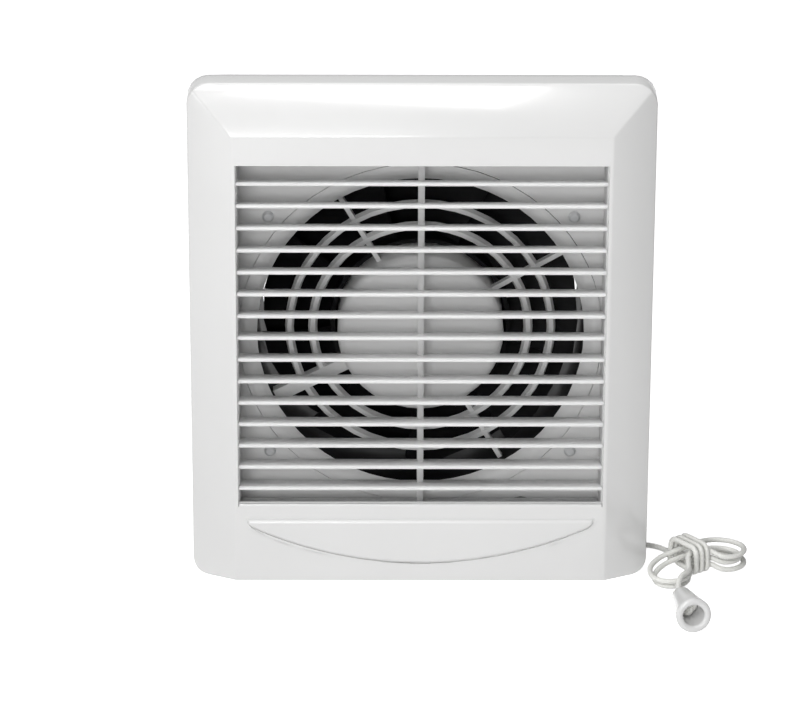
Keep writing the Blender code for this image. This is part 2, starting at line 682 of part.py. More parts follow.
def channel_groove(name):
    """The channel's hollow, which runs on through the tube's wall and is open at its back."""
    return spoke(name, CHANNEL_ANGLE, CHANNEL_WIDTH - 2 * CHANNEL_WALL,
                 (CUP_RADIUS - 2 * CUP_WALL, SPIGOT_RADIUS + CUT_MARGIN),
                 (GUARD_DEPTH - STRUT_SETBACK + CHANNEL_WALL,
                  GUARD_DEPTH + CHANNEL_THICKNESS + CUT_MARGIN))


def make_guard():
    """Motor cup with two rings, three bars and a cable channel, all inside the tube."""
    rim = CUP_RADIUS - CUP_ROUND
    shoulder = arc((rim, PLATE_DEPTH + CUP_ROUND), CUP_ROUND, -90, 0, 5)
    cup = [(0.0, PLATE_DEPTH)] + shoulder + [
        (CUP_RADIUS, CUP_END), (CUP_RADIUS - CUP_WALL, CUP_END),
        (CUP_RADIUS - CUP_WALL, PLATE_DEPTH + CUP_ROUND), (rim, PLATE_DEPTH + CUP_WALL),
        (0.0, PLATE_DEPTH + CUP_WALL)]
    guard = turned("motor_guard", cup, 40, finish=INNER_WHITE)
    ring_depths = (GUARD_DEPTH, GUARD_DEPTH + GUARD_THICKNESS)
    for index, (middle, width) in enumerate(GUARD_RINGS):
        join(guard, ring(f"guard_ring_{index}", middle, width, ring_depths))
    tube_inside = THROAT_RADIUS * math.cos(math.pi / RING_STEPS)
    reach = (CUP_RADIUS - CUP_WALL / 2, tube_inside - PRESS_GAP)
    strut_depths = (GUARD_DEPTH + STRUT_SETBACK,
                    GUARD_DEPTH + GUARD_THICKNESS + STRUT_EXTRA_DEPTH)
    for index, angle in enumerate(STRUT_ANGLES):
        join(guard, spoke(f"strut_{index}", angle, STRUT_WIDTH, reach, strut_depths))
    channel_depths = (GUARD_DEPTH - STRUT_SETBACK, GUARD_DEPTH + CHANNEL_THICKNESS)
    join(guard, spoke("cable_channel", CHANNEL_ANGLE, CHANNEL_WIDTH, reach, channel_depths))
    for side in (-1, 1):
        boss = (PLATE_DEPTH + CUP_WALL / 2, STACK_DEPTH - BRIDGE_THICKNESS - 2 * GAP)
        place = (side * MOTOR_SCREW_X, AXIS_HEIGHT + MOTOR_SCREW_RISE)
        join(guard, rod(f"motor_boss_{side}", MOTOR_BOSS_RADIUS, boss, 16, place))
    cut(guard, channel_groove("channel_groove"))
    for side in (-1, 1):
        place = (side * MOTOR_SCREW_X, AXIS_HEIGHT + MOTOR_SCREW_RISE)
        cut(guard, rod(f"motor_thread_{side}", MOTOR_SCREW_RADIUS + GAP,
                       (PLATE_DEPTH + CUP_WALL + GAP, STACK_DEPTH), 12, place))


def make_tube_screws():
    under = PLATE_DEPTH - GAP
    top = under - SCREW_HEAD_HEIGHT
    tip = COLLAR_BACK + 4 * SCREW_POINT
    for index, place in enumerate(ear_places()):
        profile = [(0.0, top), (TUBE_SCREW_HEAD - SCREW_HEAD_ROUND, top),
                   (TUBE_SCREW_HEAD, top + SCREW_HEAD_ROUND), (TUBE_SCREW_HEAD, under),
                   (MOTOR_SCREW_RADIUS, under), (MOTOR_SCREW_RADIUS, tip - SCREW_POINT),
                   (0.0, tip)]
        turned(f"tube_screw_{index + 1}", profile, 12, along_depth(*place), STEEL)


def make_motor():
    z = AXIS_HEIGHT
    half = STACK_HALF_WIDTH
    depths = (STACK_DEPTH, STACK_BACK)
    stator = box("motor_stator", (-half, half), depths, (z + STACK_BOTTOM, z + STACK_TOP),
                 LAMINATION)
    wide = (STACK_DEPTH - CUT_MARGIN, STACK_BACK + CUT_MARGIN)
    cut(stator, rod("rotor_bore", BORE_RADIUS, wide, 32))
    cut(stator, box("coil_window", (-WINDOW_HALF_WIDTH, WINDOW_HALF_WIDTH), wide,
                    (z + LEG_TOP, z + POLE_BOTTOM)))
    for side in (-1, 1):
        place = (side * MOTOR_SCREW_X, z + MOTOR_SCREW_RISE)
        cut(stator, rod(f"stack_hole_{side}", MOTOR_SCREW_RADIUS + GAP, wide, 12, place))
    coil_half = WINDOW_HALF_WIDTH - GAP
    outer_z = (z + STACK_BOTTOM - COIL_BUILD, z + LEG_TOP + COIL_BUILD)
    coil = box("motor_coil", (-coil_half, coil_half),
               (STACK_DEPTH - COIL_OVERHANG, STACK_BACK + COIL_OVERHANG), outer_z, COPPER)
    round_edges(coil, COIL_ROUND, 60)
    settle(coil)
    cut(coil, box("coil_core", (-half, half), (STACK_DEPTH - GAP, STACK_BACK + GAP),
                  (z + STACK_BOTTOM - GAP, z + LEG_TOP + GAP)))
    rod("motor_rotor", ROTOR_RADIUS, depths, 32, finish=LAMINATION)
    cut(bpy.data.objects["motor_rotor"],
        rod("rotor_bore_for_shaft", SHAFT_RADIUS + PRESS_GAP, wide, ROUND_STEPS))
    rod("motor_shaft", SHAFT_RADIUS, (SHAFT_START, SHAFT_END), ROUND_STEPS, finish=STEEL)
    for name, foot, rise in (("front", STACK_DEPTH - GAP - BRIDGE_THICKNESS, -BRIDGE_RISE),
                             ("rear", STACK_BACK + GAP, BRIDGE_RISE)):
        make_bridge(name, foot, rise)
    for side, word in ((-1, "left"), (1, "right")):
        place = (side * MOTOR_SCREW_X, z + MOTOR_SCREW_RISE)
        head = STACK_BACK + 2 * GAP + BRIDGE_THICKNESS
        tip = PLATE_DEPTH + CUP_WALL + SCREW_POINT
        profile = [(0.0, tip), (MOTOR_SCREW_RADIUS, tip + SCREW_POINT),
                   (MOTOR_SCREW_RADIUS, head), (MOTOR_SCREW_HEAD, head),
                   (MOTOR_SCREW_HEAD, head + SCREW_HEAD_HEIGHT), (0.0, head + SCREW_HEAD_HEIGHT)]
        turned(f"motor_screw_{word}", profile, 12, along_depth(*place), STEEL)


def make_bridge(name, foot, rise):
    """A bearing bridge: two feet on the stack and a raised middle that holds the bush."""
    z = AXIS_HEIGHT
    back = foot + BRIDGE_THICKNESS
    middle = (min(foot, foot + rise), max(back, back + rise))
    half = STACK_HALF_WIDTH - GAP
    foot_top = z + MOTOR_SCREW_RISE + BRIDGE_FOOT / 2
    inner = BRIDGE_SHOULDER
    outer = BRIDGE_SHOULDER + BRIDGE_THICKNESS
    bridge = box(f"motor_bridge_{name}", (-half, half), (foot, back),
                 (foot_top - BRIDGE_FOOT, foot_top), STEEL)
    arch = box(f"bridge_arch_{name}", (-outer, outer), middle,
               (z - BRIDGE_WIDTH / 2, foot_top))
    join(bridge, arch)
    if rise < 0:
        hollow = (middle[0] + BRIDGE_THICKNESS, back + CUT_MARGIN)
    else:
        hollow = (foot - CUT_MARGIN, middle[1] - BRIDGE_THICKNESS)
    cut(bridge, box(f"bridge_hollow_{name}", (-inner, inner), hollow,
                    (z - BRIDGE_WIDTH, foot_top + CUT_REACH)))
    sheet = (foot + rise, back + rise)
    mid = sum(sheet) / 2
    bush = (mid - BEARING_LENGTH / 2, mid + BEARING_LENGTH / 2)
    cut(bridge, rod(f"bush_hole_{name}", BEARING_RADIUS + GAP,
                    (sheet[0] - CUT_MARGIN, sheet[1] + CUT_MARGIN), ROUND_STEPS))
    for side in (-1, 1):
        cut(bridge, rod(f"bridge_hole_{name}_{side}", MOTOR_SCREW_RADIUS + GAP,
                        (foot - CUT_MARGIN, back + CUT_MARGIN), 12,
                        (side * MOTOR_SCREW_X, z + MOTOR_SCREW_RISE)))
    profile = [(SHAFT_RADIUS + SHAFT_GAP, bush[0]), (BEARING_RADIUS, bush[0]),
               (BEARING_RADIUS, bush[1]), (SHAFT_RADIUS + SHAFT_GAP, bush[1])]
    turned(f"bearing_{name}", profile, ROUND_STEPS, finish=BRONZE)


def blade(name, turn):
    """One impeller blade: a twisted, cambered sheet from inside the hub to the tip."""
    rows = 5
    columns = 5
    root = HUB_RADIUS - HUB_WALL / 2
    bm = bmesh.new()
    grid = []
    for i in range(rows):
        share = i / (rows - 1)
        radius = root + (BLADE_TIP_RADIUS - BLADE_THICKNESS / 2 - root) * share
        chord = BLADE_ROOT_CHORD + (BLADE_TIP_CHORD - BLADE_ROOT_CHORD) * share
        pitch = math.radians(BLADE_ROOT_PITCH + (BLADE_TIP_PITCH - BLADE_ROOT_PITCH) * share)
        line = []
        for j in range(columns):
            s = j / (columns - 1) - 0.5
            bow = BLADE_CAMBER * (1.0 - 4.0 * s * s)
            across = s * chord * math.cos(pitch) - bow * math.sin(pitch)
            along = s * chord * math.sin(pitch) + bow * math.cos(pitch)
            angle = math.radians(turn) + across / radius
            line.append(bm.verts.new((radius * math.cos(angle), at(BLADE_MIDDLE + along),
                                      AXIS_HEIGHT + radius * math.sin(angle))))
        grid.append(line)
    for i in range(rows - 1):
        for j in range(columns - 1):
            bm.faces.new((grid[i][j], grid[i + 1][j], grid[i + 1][j + 1], grid[i][j + 1]))
    sheet = from_bmesh(name, bm, None)
    skin = sheet.modifiers.new("thickness", "SOLIDIFY")
    skin.thickness = BLADE_THICKNESS
    skin.offset = 0.0
    return sheet


def make_impeller():
    inner = HUB_RADIUS - HUB_WALL
    floor = HUB_END - HUB_WALL
    profile = [(SHAFT_RADIUS + PRESS_GAP, floor), (inner, floor), (inner, HUB_FRONT),
               (HUB_RADIUS, HUB_FRONT), (HUB_RADIUS, HUB_END - HUB_WALL / 2),
               (HUB_RADIUS - HUB_WALL / 2, HUB_END), (HUB_BOSS_RADIUS, HUB_END),
               (HUB_BOSS_RADIUS, HUB_BOSS_END), (SHAFT_RADIUS + PRESS_GAP, HUB_BOSS_END)]
    impeller = turned("impeller", profile, 36, finish=BLACK)
    for index in range(BLADE_COUNT):
        join(impeller, blade(f"blade_{index}", 360.0 * index / BLADE_COUNT + BLADE_START))
    nut_depths = (HUB_BOSS_END + GAP, HUB_BOSS_END + GAP + NUT_THICKNESS)
    nut = rod("impeller_nut", NUT_RADIUS, nut_depths, 6, finish=STEEL)
    cut(nut, rod("nut_bore", SHAFT_RADIUS + PRESS_GAP, (HUB_BOSS_END, SHAFT_END), ROUND_STEPS))


def make_switch():
    half = SWITCH_WIDTH / 2
    depths = (CORD_DEPTH - SWITCH_DEPTH / 2, CORD_DEPTH + SWITCH_DEPTH / 2)
    body = box("switch_body", (CORD_X - half, CORD_X + half), depths,
               (SWITCH_BOTTOM, SWITCH_TOP), NYLON)
    round_edges(body, 0.0008, 40, 1)
    settle(body)
    chamber = [(0.0, SWITCH_BOTTOM + SWITCH_WALL),
               (PLUNGER_FLANGE + GAP, SWITCH_BOTTOM + SWITCH_WALL),
               (PLUNGER_FLANGE + GAP, SWITCH_TOP - SWITCH_WALL), (0.0, SWITCH_TOP - SWITCH_WALL)]
    cut(body, turned("switch_chamber", chamber, ROUND_STEPS, standing(CORD_X, CORD_DEPTH)))
    low = SWITCH_BOTTOM - CUT_MARGIN
    high = SWITCH_BOTTOM + SWITCH_WALL + CUT_MARGIN
    mouth = [(0.0, low), (PLUNGER_RADIUS + GAP, low), (PLUNGER_RADIUS + GAP, high), (0.0, high)]
    cut(body, turned("switch_mouth", mouth, ROUND_STEPS, standing(CORD_X, CORD_DEPTH)))
    top = SWITCH_TOP - SWITCH_WALL - GAP
    low = SWITCH_BOTTOM - PLUNGER_REACH
    flange = top - PLUNGER_FLANGE_THICKNESS
    stem = [(0.0, low), (PLUNGER_RADIUS, low), (PLUNGER_RADIUS, flange),
            (PLUNGER_FLANGE, flange), (PLUNGER_FLANGE, top), (0.0, top)]
    turned("switch_plunger", stem, ROUND_STEPS, standing(CORD_X, CORD_DEPTH), NYLON)
    return low, flange


def cleaned_tube(name, points, radius, finish, sides=2):
    """A round wire through the points, with closed ends."""
    curve = bpy.data.curves.new(name, "CURVE")
    curve.dimensions = "3D"
    curve.bevel_depth = radius
    curve.bevel_resolution = sides
    curve.use_fill_caps = True
    curve.twist_mode = "MINIMUM"
    spline = curve.splines.new("POLY")
    spline.points.add(len(points) - 1)
    for point, place in zip(spline.points, points):
        point.co = (*place, 1.0)
    curve.materials.append(finish)
    wire = bpy.data.objects.new(name, curve)
    PARTS.objects.link(wire)
    return wire


def make_spring(flange):
    """A compression spring under the plunger's flange."""
    low = SWITCH_BOTTOM + SWITCH_WALL + SPRING_WIRE + GAP
    high = flange - SPRING_WIRE - GAP
    count = SPRING_TURNS * 8 + 1
    points = []
    for i in range(count):
        turn = 2.0 * math.pi * SPRING_TURNS * i / (count - 1)
        points.append((CORD_X + SPRING_RADIUS * math.cos(turn),
                       at(CORD_DEPTH) + SPRING_RADIUS * math.sin(turn),
                       low + (high - low) * i / (count - 1)))
    cleaned_tube("switch_spring", points, SPRING_WIRE, STEEL, 1)


def smooth_route(points, spacing):
    """Evenly spaced places on a smooth curve through the chosen points."""
    chosen = np.array(points, dtype=float)
    ends = np.vstack([2 * chosen[0] - chosen[1], chosen, 2 * chosen[-1] - chosen[-2]])
    fine = []
    for i in range(len(chosen) - 1):
        a, b, c, d = ends[i:i + 4]
        for t in np.linspace(0.0, 1.0, 24, endpoint=False):
            fine.append(0.5 * (2 * b + (c - a) * t + (2 * a - 5 * b + 4 * c - d) * t * t
                               + (3 * b - a - 3 * c + d) * t ** 3))
    fine.append(chosen[-1])
    fine = np.array(fine)
    run = np.concatenate([[0.0], np.cumsum(np.linalg.norm(np.diff(fine, axis=0), axis=1))])
    count = max(2, int(round(run[-1] / spacing)) + 1)
    wanted = np.linspace(0.0, run[-1], count)
    return [tuple(np.interp(wanted, run, fine[:, k])[i] for k in range(3)) for i in range(count)]


def make_leads():
    """The insulated leads from the motor and the switch to the terminal block."""
    facing = math.radians(CHANNEL_ANGLE)
    depth = GUARD_DEPTH + CHANNEL_WALL + LEAD_RADIUS + GAP
    groove = [(radius * math.cos(facing), depth, radius * math.sin(facing))
              for radius in (CUP_RADIUS, (CUP_RADIUS + SPIGOT_RADIUS) / 2, SPIGOT_RADIUS,
                             SPIGOT_RADIUS + MOTOR_LEAD_EXIT)]
    motor = smooth_route(route(MOTOR_LEAD_START, 0.0, AXIS_HEIGHT) + route(groove, 0.0, AXIS_HEIGHT)
                         + route(MOTOR_LEAD_END, LEFT_SIDE), 5 * LEAD_RADIUS)
    cleaned_tube("motor_lead", motor, LEAD_RADIUS, RUBBER)
    top = SWITCH_TOP + GAP
    rise = [(CORD_X, CORD_DEPTH, top), (CORD_X, CORD_DEPTH, top + 2 * LEAD_RADIUS)]
    switch = smooth_route(route(rise) + route(SWITCH_LEAD_START, CORD_X)
                          + route(SWITCH_LEAD_END, LEFT_SIDE), 6 * LEAD_RADIUS)
    cleaned_tube("switch_lead", switch, LEAD_RADIUS, RUBBER)


def make_wiring():
    half = TERMINAL_WIDTH / 2
    front = PLATE_DEPTH - GAP - TERMINAL_DEPTH
    block = box("terminal_block", (TERMINAL_X - half, TERMINAL_X + half),
                (front, PLATE_DEPTH - GAP),
                (TERMINAL_BOTTOM, TERMINAL_BOTTOM + TERMINAL_HEIGHT), NYLON)
    pitch = TERMINAL_WIDTH / TERMINAL_POLES
    for pole in range(TERMINAL_POLES):
        x = TERMINAL_X - half + pitch * (pole + 0.5)
        cut(block, rod(f"terminal_well_{pole}", TERMINAL_WELL,
                       (front - CUT_MARGIN, front + TERMINAL_DEPTH / 2), 12,
                       (x, TERMINAL_BOTTOM + TERMINAL_HEIGHT / 2)))
    for wall in range(1, TERMINAL_POLES):
        x = TERMINAL_X - half + pitch * wall
        cut(block, box(f"terminal_gap_{wall}", (x - TERMINAL_GAP / 2, x + TERMINAL_GAP / 2),
                       (front - CUT_MARGIN, front + TERMINAL_DEPTH / 3),
                       (TERMINAL_BOTTOM - CUT_MARGIN,
                        TERMINAL_BOTTOM + TERMINAL_HEIGHT + CUT_MARGIN)))
    plate = (PLATE_DEPTH, PLATE_DEPTH + PLATE_WALL)
    profile = [(GROMMET_BORE, plate[0] - GAP - GROMMET_LIP),
               (GROMMET_FLANGE, plate[0] - GAP - GROMMET_LIP), (GROMMET_FLANGE, plate[0] - GAP),
               (GROMMET_RADIUS, plate[0] - GAP), (GROMMET_RADIUS, plate[1] + GAP),
               (GROMMET_FLANGE, plate[1] + GAP), (GROMMET_FLANGE, plate[1] + GAP + GROMMET_LIP),
               (GROMMET_BORE, plate[1] + GAP + GROMMET_LIP)]
    turned("cable_grommet", profile, 16, along_depth(GROMMET_X, GROMMET_HEIGHT), RUBBER)


def make_eyelet():
    low = BASE_BOTTOM
    high = BASE_BOTTOM + BASE_WALL
    profile = [(EYELET_BORE, low - GAP - EYELET_LIP), (EYELET_FLANGE, low - GAP - EYELET_LIP),
               (EYELET_FLANGE, low - GAP), (EYELET_RADIUS, low - GAP),
               (EYELET_RADIUS, high + EYELET_LIP), (EYELET_BORE, high + EYELET_LIP)]
    turned("cord_eyelet", profile, 16, standing(CORD_X, CORD_DEPTH), NYLON)


def ease(share):
    """Rises smoothly from 0 to 1."""
    share = min(1.0, max(0.0, share))
    return share * share * (3.0 - 2.0 * share)


def hank_place(run, across, height):
    """A place beside the hank's middle line, which bends evenly on both sides of the waist."""
    heading = math.radians(HANK_HEADING)
    radius = HANK_ARC / math.radians(HANK_BEND)
    side = math.copysign(1.0, run)
    straight = min(abs(run), HANK_STRAIGHT)
    curved = min(abs(run) - straight, HANK_ARC / 2)
    rest = abs(run) - straight - curved
    facing = heading - side * curved / radius
    x = CORD_X + HANK_MIDDLE[0] + radius * (math.sin(heading) - math.sin(facing))
    depth = HANK_MIDDLE[1] - radius * (math.cos(heading) - math.cos(facing))
    x += side * (straight * math.cos(heading) + rest * math.cos(facing))
    depth += side * (straight * math.sin(heading) + rest * math.sin(facing))
    return (x - across * math.sin(facing), at(depth + across * math.cos(facing)), height)


def hank_loop(turn, widen):
    """Run and side offset on one loop: a quarter for each run and a quarter for each fold."""
    radius = HANK_FOLD_RADIUS + HANK_FOLD_PITCH * widen
    quarters = (turn * 4.0 + 0.5) % 4.0
    inside = quarters % 1.0
    along = HANK_HALF_RUN * (2.0 * inside - 1.0)
    bend = math.pi * inside
    if quarters < 1.0:
        return along, radius
    if quarters < 2.0:
        return HANK_HALF_RUN + radius * math.sin(bend), radius * math.cos(bend)
    if quarters < 3.0:
        return -along, -radius
    return -HANK_HALF_RUN - radius * math.sin(bend), -radius * math.cos(bend)


def hank_point(turn):
    """The cord's middle line after this many turns: layers spiral in and out by turns."""
    layer = max(0, min(math.floor(turn), HANK_LAYERS - 1))
    widen = turn - layer if layer % 2 else 1.0 - turn + layer
    nearest = round(turn)
    height = layer
    if 0 < nearest < HANK_LAYERS and abs(turn - nearest) < 0.25:
        height = nearest - 1.0 + ease((turn - nearest) * 2.0 + 0.5)
    run, across = hank_loop(turn, widen)
    if abs(run) < HANK_HALF_RUN:
        drawn = HANK_WAIST + HANK_WAIST_PITCH * widen
        wide = drawn + (abs(across) - drawn) * ease(abs(run) / HANK_HALF_RUN)
        across = math.copysign(wide, across)
    lift = HANK_LIFT * (1.0 - ease(abs(run) / (HANK_HALF_RUN + HANK_FOLD_RADIUS)))
    return hank_place(run, across, CORD_DIAMETER / 2 + height * HANK_LAYER + lift)


def hank_line():
    """All points of the hank, each drawn a little towards its neighbours."""
    count = round((HANK_END - HANK_START) * HANK_POINTS_A_TURN)
    places = [Vector(hank_point(HANK_START + i / HANK_POINTS_A_TURN))
              for i in range(-1, count + 2)]
    return [(places[i - 1] + places[i] * 2.0 + places[i + 1]) / 4.0
            for i in range(1, len(places) - 1)]


def route(points, side=0.0, base=0.0):
    """Places of (x from the side, depth, height above the base)."""
    return [(side + x, at(depth), base + z) for x, depth, z in points]


def shortened(points, start, end):
    """The same line with a little taken off its first and last stretch."""
    places = [Vector(p) for p in points]
    places[0] += (places[1] - places[0]).normalized() * start
    places[-1] += (places[-2] - places[-1]).normalized() * end
    return places


def pull_matrix():
    x, depth = PULL_NECK
    heading = Matrix.Rotation(math.radians(PULL_HEADING + 90.0), 4, "Z")
    lying = Matrix.Rotation(math.radians(90.0) - PULL_TILT, 4, "X")
    return Matrix.Translation((CORD_X + x, at(depth), PULL_NECK_HEIGHT)) @ heading @ lying


def make_cord(plunger_low):
    radius = CORD_DIAMETER / 2
    x, y = CORD_X, at(CORD_DEPTH)
    middle = BASE_BOTTOM + BASE_WALL
    cleaned_tube("cord_stub", [(x, y, plunger_low - GAP), (x, y, middle + GAP)], radius, CORD)
    hank = hank_line()
    enter = hank[0] - (hank[1] - hank[0])
    lead = smooth_route([(x, y, middle), (x, y, BASE_BOTTOM - EYELET_LIP)]
                        + route(CORD_ROUTE, CORD_X) + [enter, hank[0]], 2.2 * CORD_DIAMETER)
    leave = hank[-1] + (hank[-1] - hank[-2])
    place = pull_matrix()
    tail = smooth_route([hank[-1], leave] + route(TAIL_ROUTE, CORD_X)
                        + [place @ Vector((0.0, 0.0, share * PULL_BORE_DEPTH))
                           for share in (0.0, 0.3, 0.6)], 1.5 * CORD_DIAMETER)
    cleaned_tube("cord_lead", shortened(lead, 0.0, GAP), radius, CORD)
    cleaned_tube("cord_hank", hank, radius, CORD, 1)
    cleaned_tube("cord_tail", shortened(tail, GAP, 0.0), radius, CORD)


def wrap_point(turn):
    """A place on the rounded rectangle that the wrap follows round the hank's waist."""
    half_height = (HANK_LAYERS - 1) * HANK_LAYER / 2
    corner = HANK_LAYER
    sides = (2 * WRAP_HALF_WIDTH, 2 * half_height, 2 * WRAP_HALF_WIDTH, 2 * half_height)
    corners = ((WRAP_HALF_WIDTH, -half_height), (WRAP_HALF_WIDTH, half_height),
               (-WRAP_HALF_WIDTH, half_height), (-WRAP_HALF_WIDTH, -half_height))
    bend = math.pi * corner / 2
    along = (turn % 1.0) * (sum(sides) + 4 * bend)
    for index, (side, (x, z)) in enumerate(zip(sides, corners)):
        facing = math.pi / 2 * index
        outwards = facing - math.pi / 2
        if along < side:
            back = side - along
            return (x - back * math.cos(facing) + corner * math.cos(outwards),
                    z - back * math.sin(facing) + corner * math.sin(outwards))
        along -= side
        if along < bend:
            swing = outwards + along / corner
            return x + corner * math.cos(swing), z + corner * math.sin(swing)
        along -= bend
    return wrap_point(0.0)


def make_wrap():
    """Turns of cord round the hank's waist, as one open helix."""
    middle = CORD_DIAMETER / 2 + HANK_LAYER + (HANK_LAYERS - 1) * HANK_LAYER / 2
    middle += (HANK_LIFT - HANK_LAYER) / 2
    count = WRAP_TURNS * HANK_POINTS_A_TURN
    points = []
    for i in range(count + 1):
        turn = WRAP_TURNS * i / count
        across, height = wrap_point(turn + 0.25)
        run = (turn - WRAP_TURNS / 2) * HANK_LAYER
        points.append(hank_place(run, across, middle + height))
    cleaned_tube("hank_tie", points, CORD_DIAMETER / 2, CORD, 1)


def make_pull():
    """The bell-shaped pull, hollow at its mouth, lying on its side."""
    hole = CORD_DIAMETER / 2 + GAP
    profile = [(hole, 0.0), (hole + PULL_LIP, 0.0),
               (PULL_SHOULDER_RADIUS - PULL_LIP / 2, PULL_SHOULDER / 3),
               (PULL_SHOULDER_RADIUS, PULL_SHOULDER)]
    profile += [(PULL_MOUTH_RADIUS, PULL_LENGTH - PULL_LIP),
                (PULL_MOUTH_RADIUS - PULL_LIP / 2, PULL_LENGTH),
                (PULL_BORE_RADIUS + PULL_LIP / 2, PULL_LENGTH),
                (PULL_BORE_RADIUS, PULL_LENGTH - PULL_LIP / 2),
                (PULL_BORE_RADIUS, PULL_LENGTH - PULL_BORE_DEPTH),
                (hole, PULL_LENGTH - PULL_BORE_DEPTH)]
    turned("cord_pull", profile, 28, pull_matrix(), WHITE)


make_front_cover()
make_grille()
make_badge()
make_base()
make_tube()
make_guard()
make_tube_screws()
make_motor()
make_impeller()
PLUNGER_LOW, PLUNGER_UNDER_FLANGE = make_switch()
make_spring(PLUNGER_UNDER_FLANGE)
make_wiring()
make_leads()
make_eyelet()
make_cord(PLUNGER_LOW)
make_wrap()
make_pull()
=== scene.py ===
"""Looks for the bathroom exhaust fan: camera, lights, materials, cord and refined pieces.

Everything is in metres in the CAD frame: the front faces -Y, +Z is up.
Depths are measured backwards from the flat front panel, as in the CAD source.
"""

import math

import bmesh
import bpy
import numpy as np
from mathutils import Matrix, Vector


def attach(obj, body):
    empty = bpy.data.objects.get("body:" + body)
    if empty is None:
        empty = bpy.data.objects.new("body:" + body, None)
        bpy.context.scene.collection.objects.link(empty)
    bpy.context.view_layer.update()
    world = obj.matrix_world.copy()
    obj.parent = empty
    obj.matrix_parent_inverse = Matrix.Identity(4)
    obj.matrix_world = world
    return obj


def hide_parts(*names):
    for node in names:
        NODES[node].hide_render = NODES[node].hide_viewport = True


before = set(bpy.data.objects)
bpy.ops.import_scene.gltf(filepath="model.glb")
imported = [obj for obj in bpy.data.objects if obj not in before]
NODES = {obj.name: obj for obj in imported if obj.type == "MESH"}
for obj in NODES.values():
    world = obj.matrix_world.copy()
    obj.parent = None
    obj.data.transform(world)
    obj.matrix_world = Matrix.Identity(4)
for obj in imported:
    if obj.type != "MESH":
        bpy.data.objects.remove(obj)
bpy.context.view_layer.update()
SCENE = bpy.context.scene

FRONT_Y = -0.05435
AXIS_HEIGHT = 0.1119
# Sizes that pick the faces painted black as shade, in the throat and in the mouth's gap
THROAT_RADIUS = 0.0767
BELL_BACK = 0.0365
MOUTH_RADIUS = 0.0852
MOUTH_GAP = 0.0006
THROAT_SHADE_MARGIN = 0.0003
SHADED_GAP_LEFT = -0.01
SHADED_GAP_BELOW_AXIS = 0.02

# Camera, from the fit to the photograph
CAMERA_PLACE = (-0.02099, -1.96164, 0.90028)
CAMERA_AZIMUTH = 0.337
CAMERA_ELEVATION = 22.433
CAMERA_ROLL = 0.188
CAMERA_LENS = 201.08


def at(depth):
    """The y of a place so far behind the flat panel."""
    return FRONT_Y + depth


def make_camera():
    azimuth = math.radians(CAMERA_AZIMUTH)
    elevation = math.radians(CAMERA_ELEVATION)
    roll = math.radians(CAMERA_ROLL)
    forward = Vector((math.sin(azimuth) * math.cos(elevation),
                      math.cos(azimuth) * math.cos(elevation), -math.sin(elevation)))
    level = Vector((math.cos(azimuth), -math.sin(azimuth), 0.0))
    upright = level.cross(forward)
    right = level * math.cos(roll) + upright * math.sin(roll)
    up = upright * math.cos(roll) - level * math.sin(roll)
    data = bpy.data.cameras.new("camera")
    data.lens = CAMERA_LENS
    data.sensor_width = 36.0
    data.clip_end = 20.0
    camera = bpy.data.objects.new("camera", data)
    turn = Matrix((right, up, -forward)).transposed().to_4x4()
    camera.matrix_world = Matrix.Translation(CAMERA_PLACE) @ turn
    SCENE.collection.objects.link(camera)
    SCENE.camera = camera


make_camera()


# Node helpers for materials
class Shader:
    """A material whose nodes are added one after another."""

    def __init__(self, name):
        self.material = bpy.data.materials.new(name)
        self.material.use_nodes = True
        self.nodes = self.material.node_tree.nodes
        self.links = self.material.node_tree.links
        self.main = self.nodes["Principled BSDF"]
        self.place = self.nodes.new("ShaderNodeTexCoord").outputs["Object"]

    def set(self, **values):
        for name, value in values.items():
            self.main.inputs[name.replace("_", " ")].default_value = value
        return self

    def noise(self, scale, detail=2.0, stretch=None):
        node = self.nodes.new("ShaderNodeTexNoise")
        node.inputs["Scale"].default_value = scale
        node.inputs["Detail"].default_value = detail
        source = self.place
        if stretch:
            mapping = self.nodes.new("ShaderNodeMapping")
            mapping.inputs["Scale"].default_value = stretch
            self.links.new(source, mapping.inputs["Vector"])
            source = mapping.outputs["Vector"]
        self.links.new(source, node.inputs["Vector"])
        return node.outputs["Fac"]

    def ramp(self, source, low, high, start=0.3, end=0.7):
        node = self.nodes.new("ShaderNodeValToRGB")
        node.color_ramp.elements[0].position = start
        node.color_ramp.elements[1].position = end
        node.color_ramp.elements[0].color = (*low, 1.0)
        node.color_ramp.elements[1].color = (*high, 1.0)
        self.links.new(source, node.inputs["Fac"])
        return node.outputs["Color"]

    def spread(self, source, low, high):
        node = self.nodes.new("ShaderNodeMapRange")
        node.inputs["To Min"].default_value = low
        node.inputs["To Max"].default_value = high
        self.links.new(source, node.inputs["Value"])
        return node.outputs["Result"]

    def colour(self, source):
        self.links.new(source, self.main.inputs["Base Color"])
        return self

    def rough(self, source):
        self.links.new(source, self.main.inputs["Roughness"])
        return self

    def bump(self, source, strength, distance):
        node = self.nodes.new("ShaderNodeBump")
        node.inputs["Strength"].default_value = strength
        node.inputs["Distance"].default_value = distance
        self.links.new(source, node.inputs["Height"])
        self.links.new(node.outputs["Normal"], self.main.inputs["Normal"])
        return self


def mottled(name, low, high, scale, rough, bump_scale, bump, distance, **values):
    """A moulded or rubbed surface: slow colour changes, uneven gloss and a fine bump."""
    made = Shader(name).set(**values)
    made.colour(made.ramp(made.noise(scale), low, high))
    made.rough(made.spread(made.noise(scale * 3.0), *rough))
    made.bump(made.noise(bump_scale, 3.0), bump, distance)
    return made.material
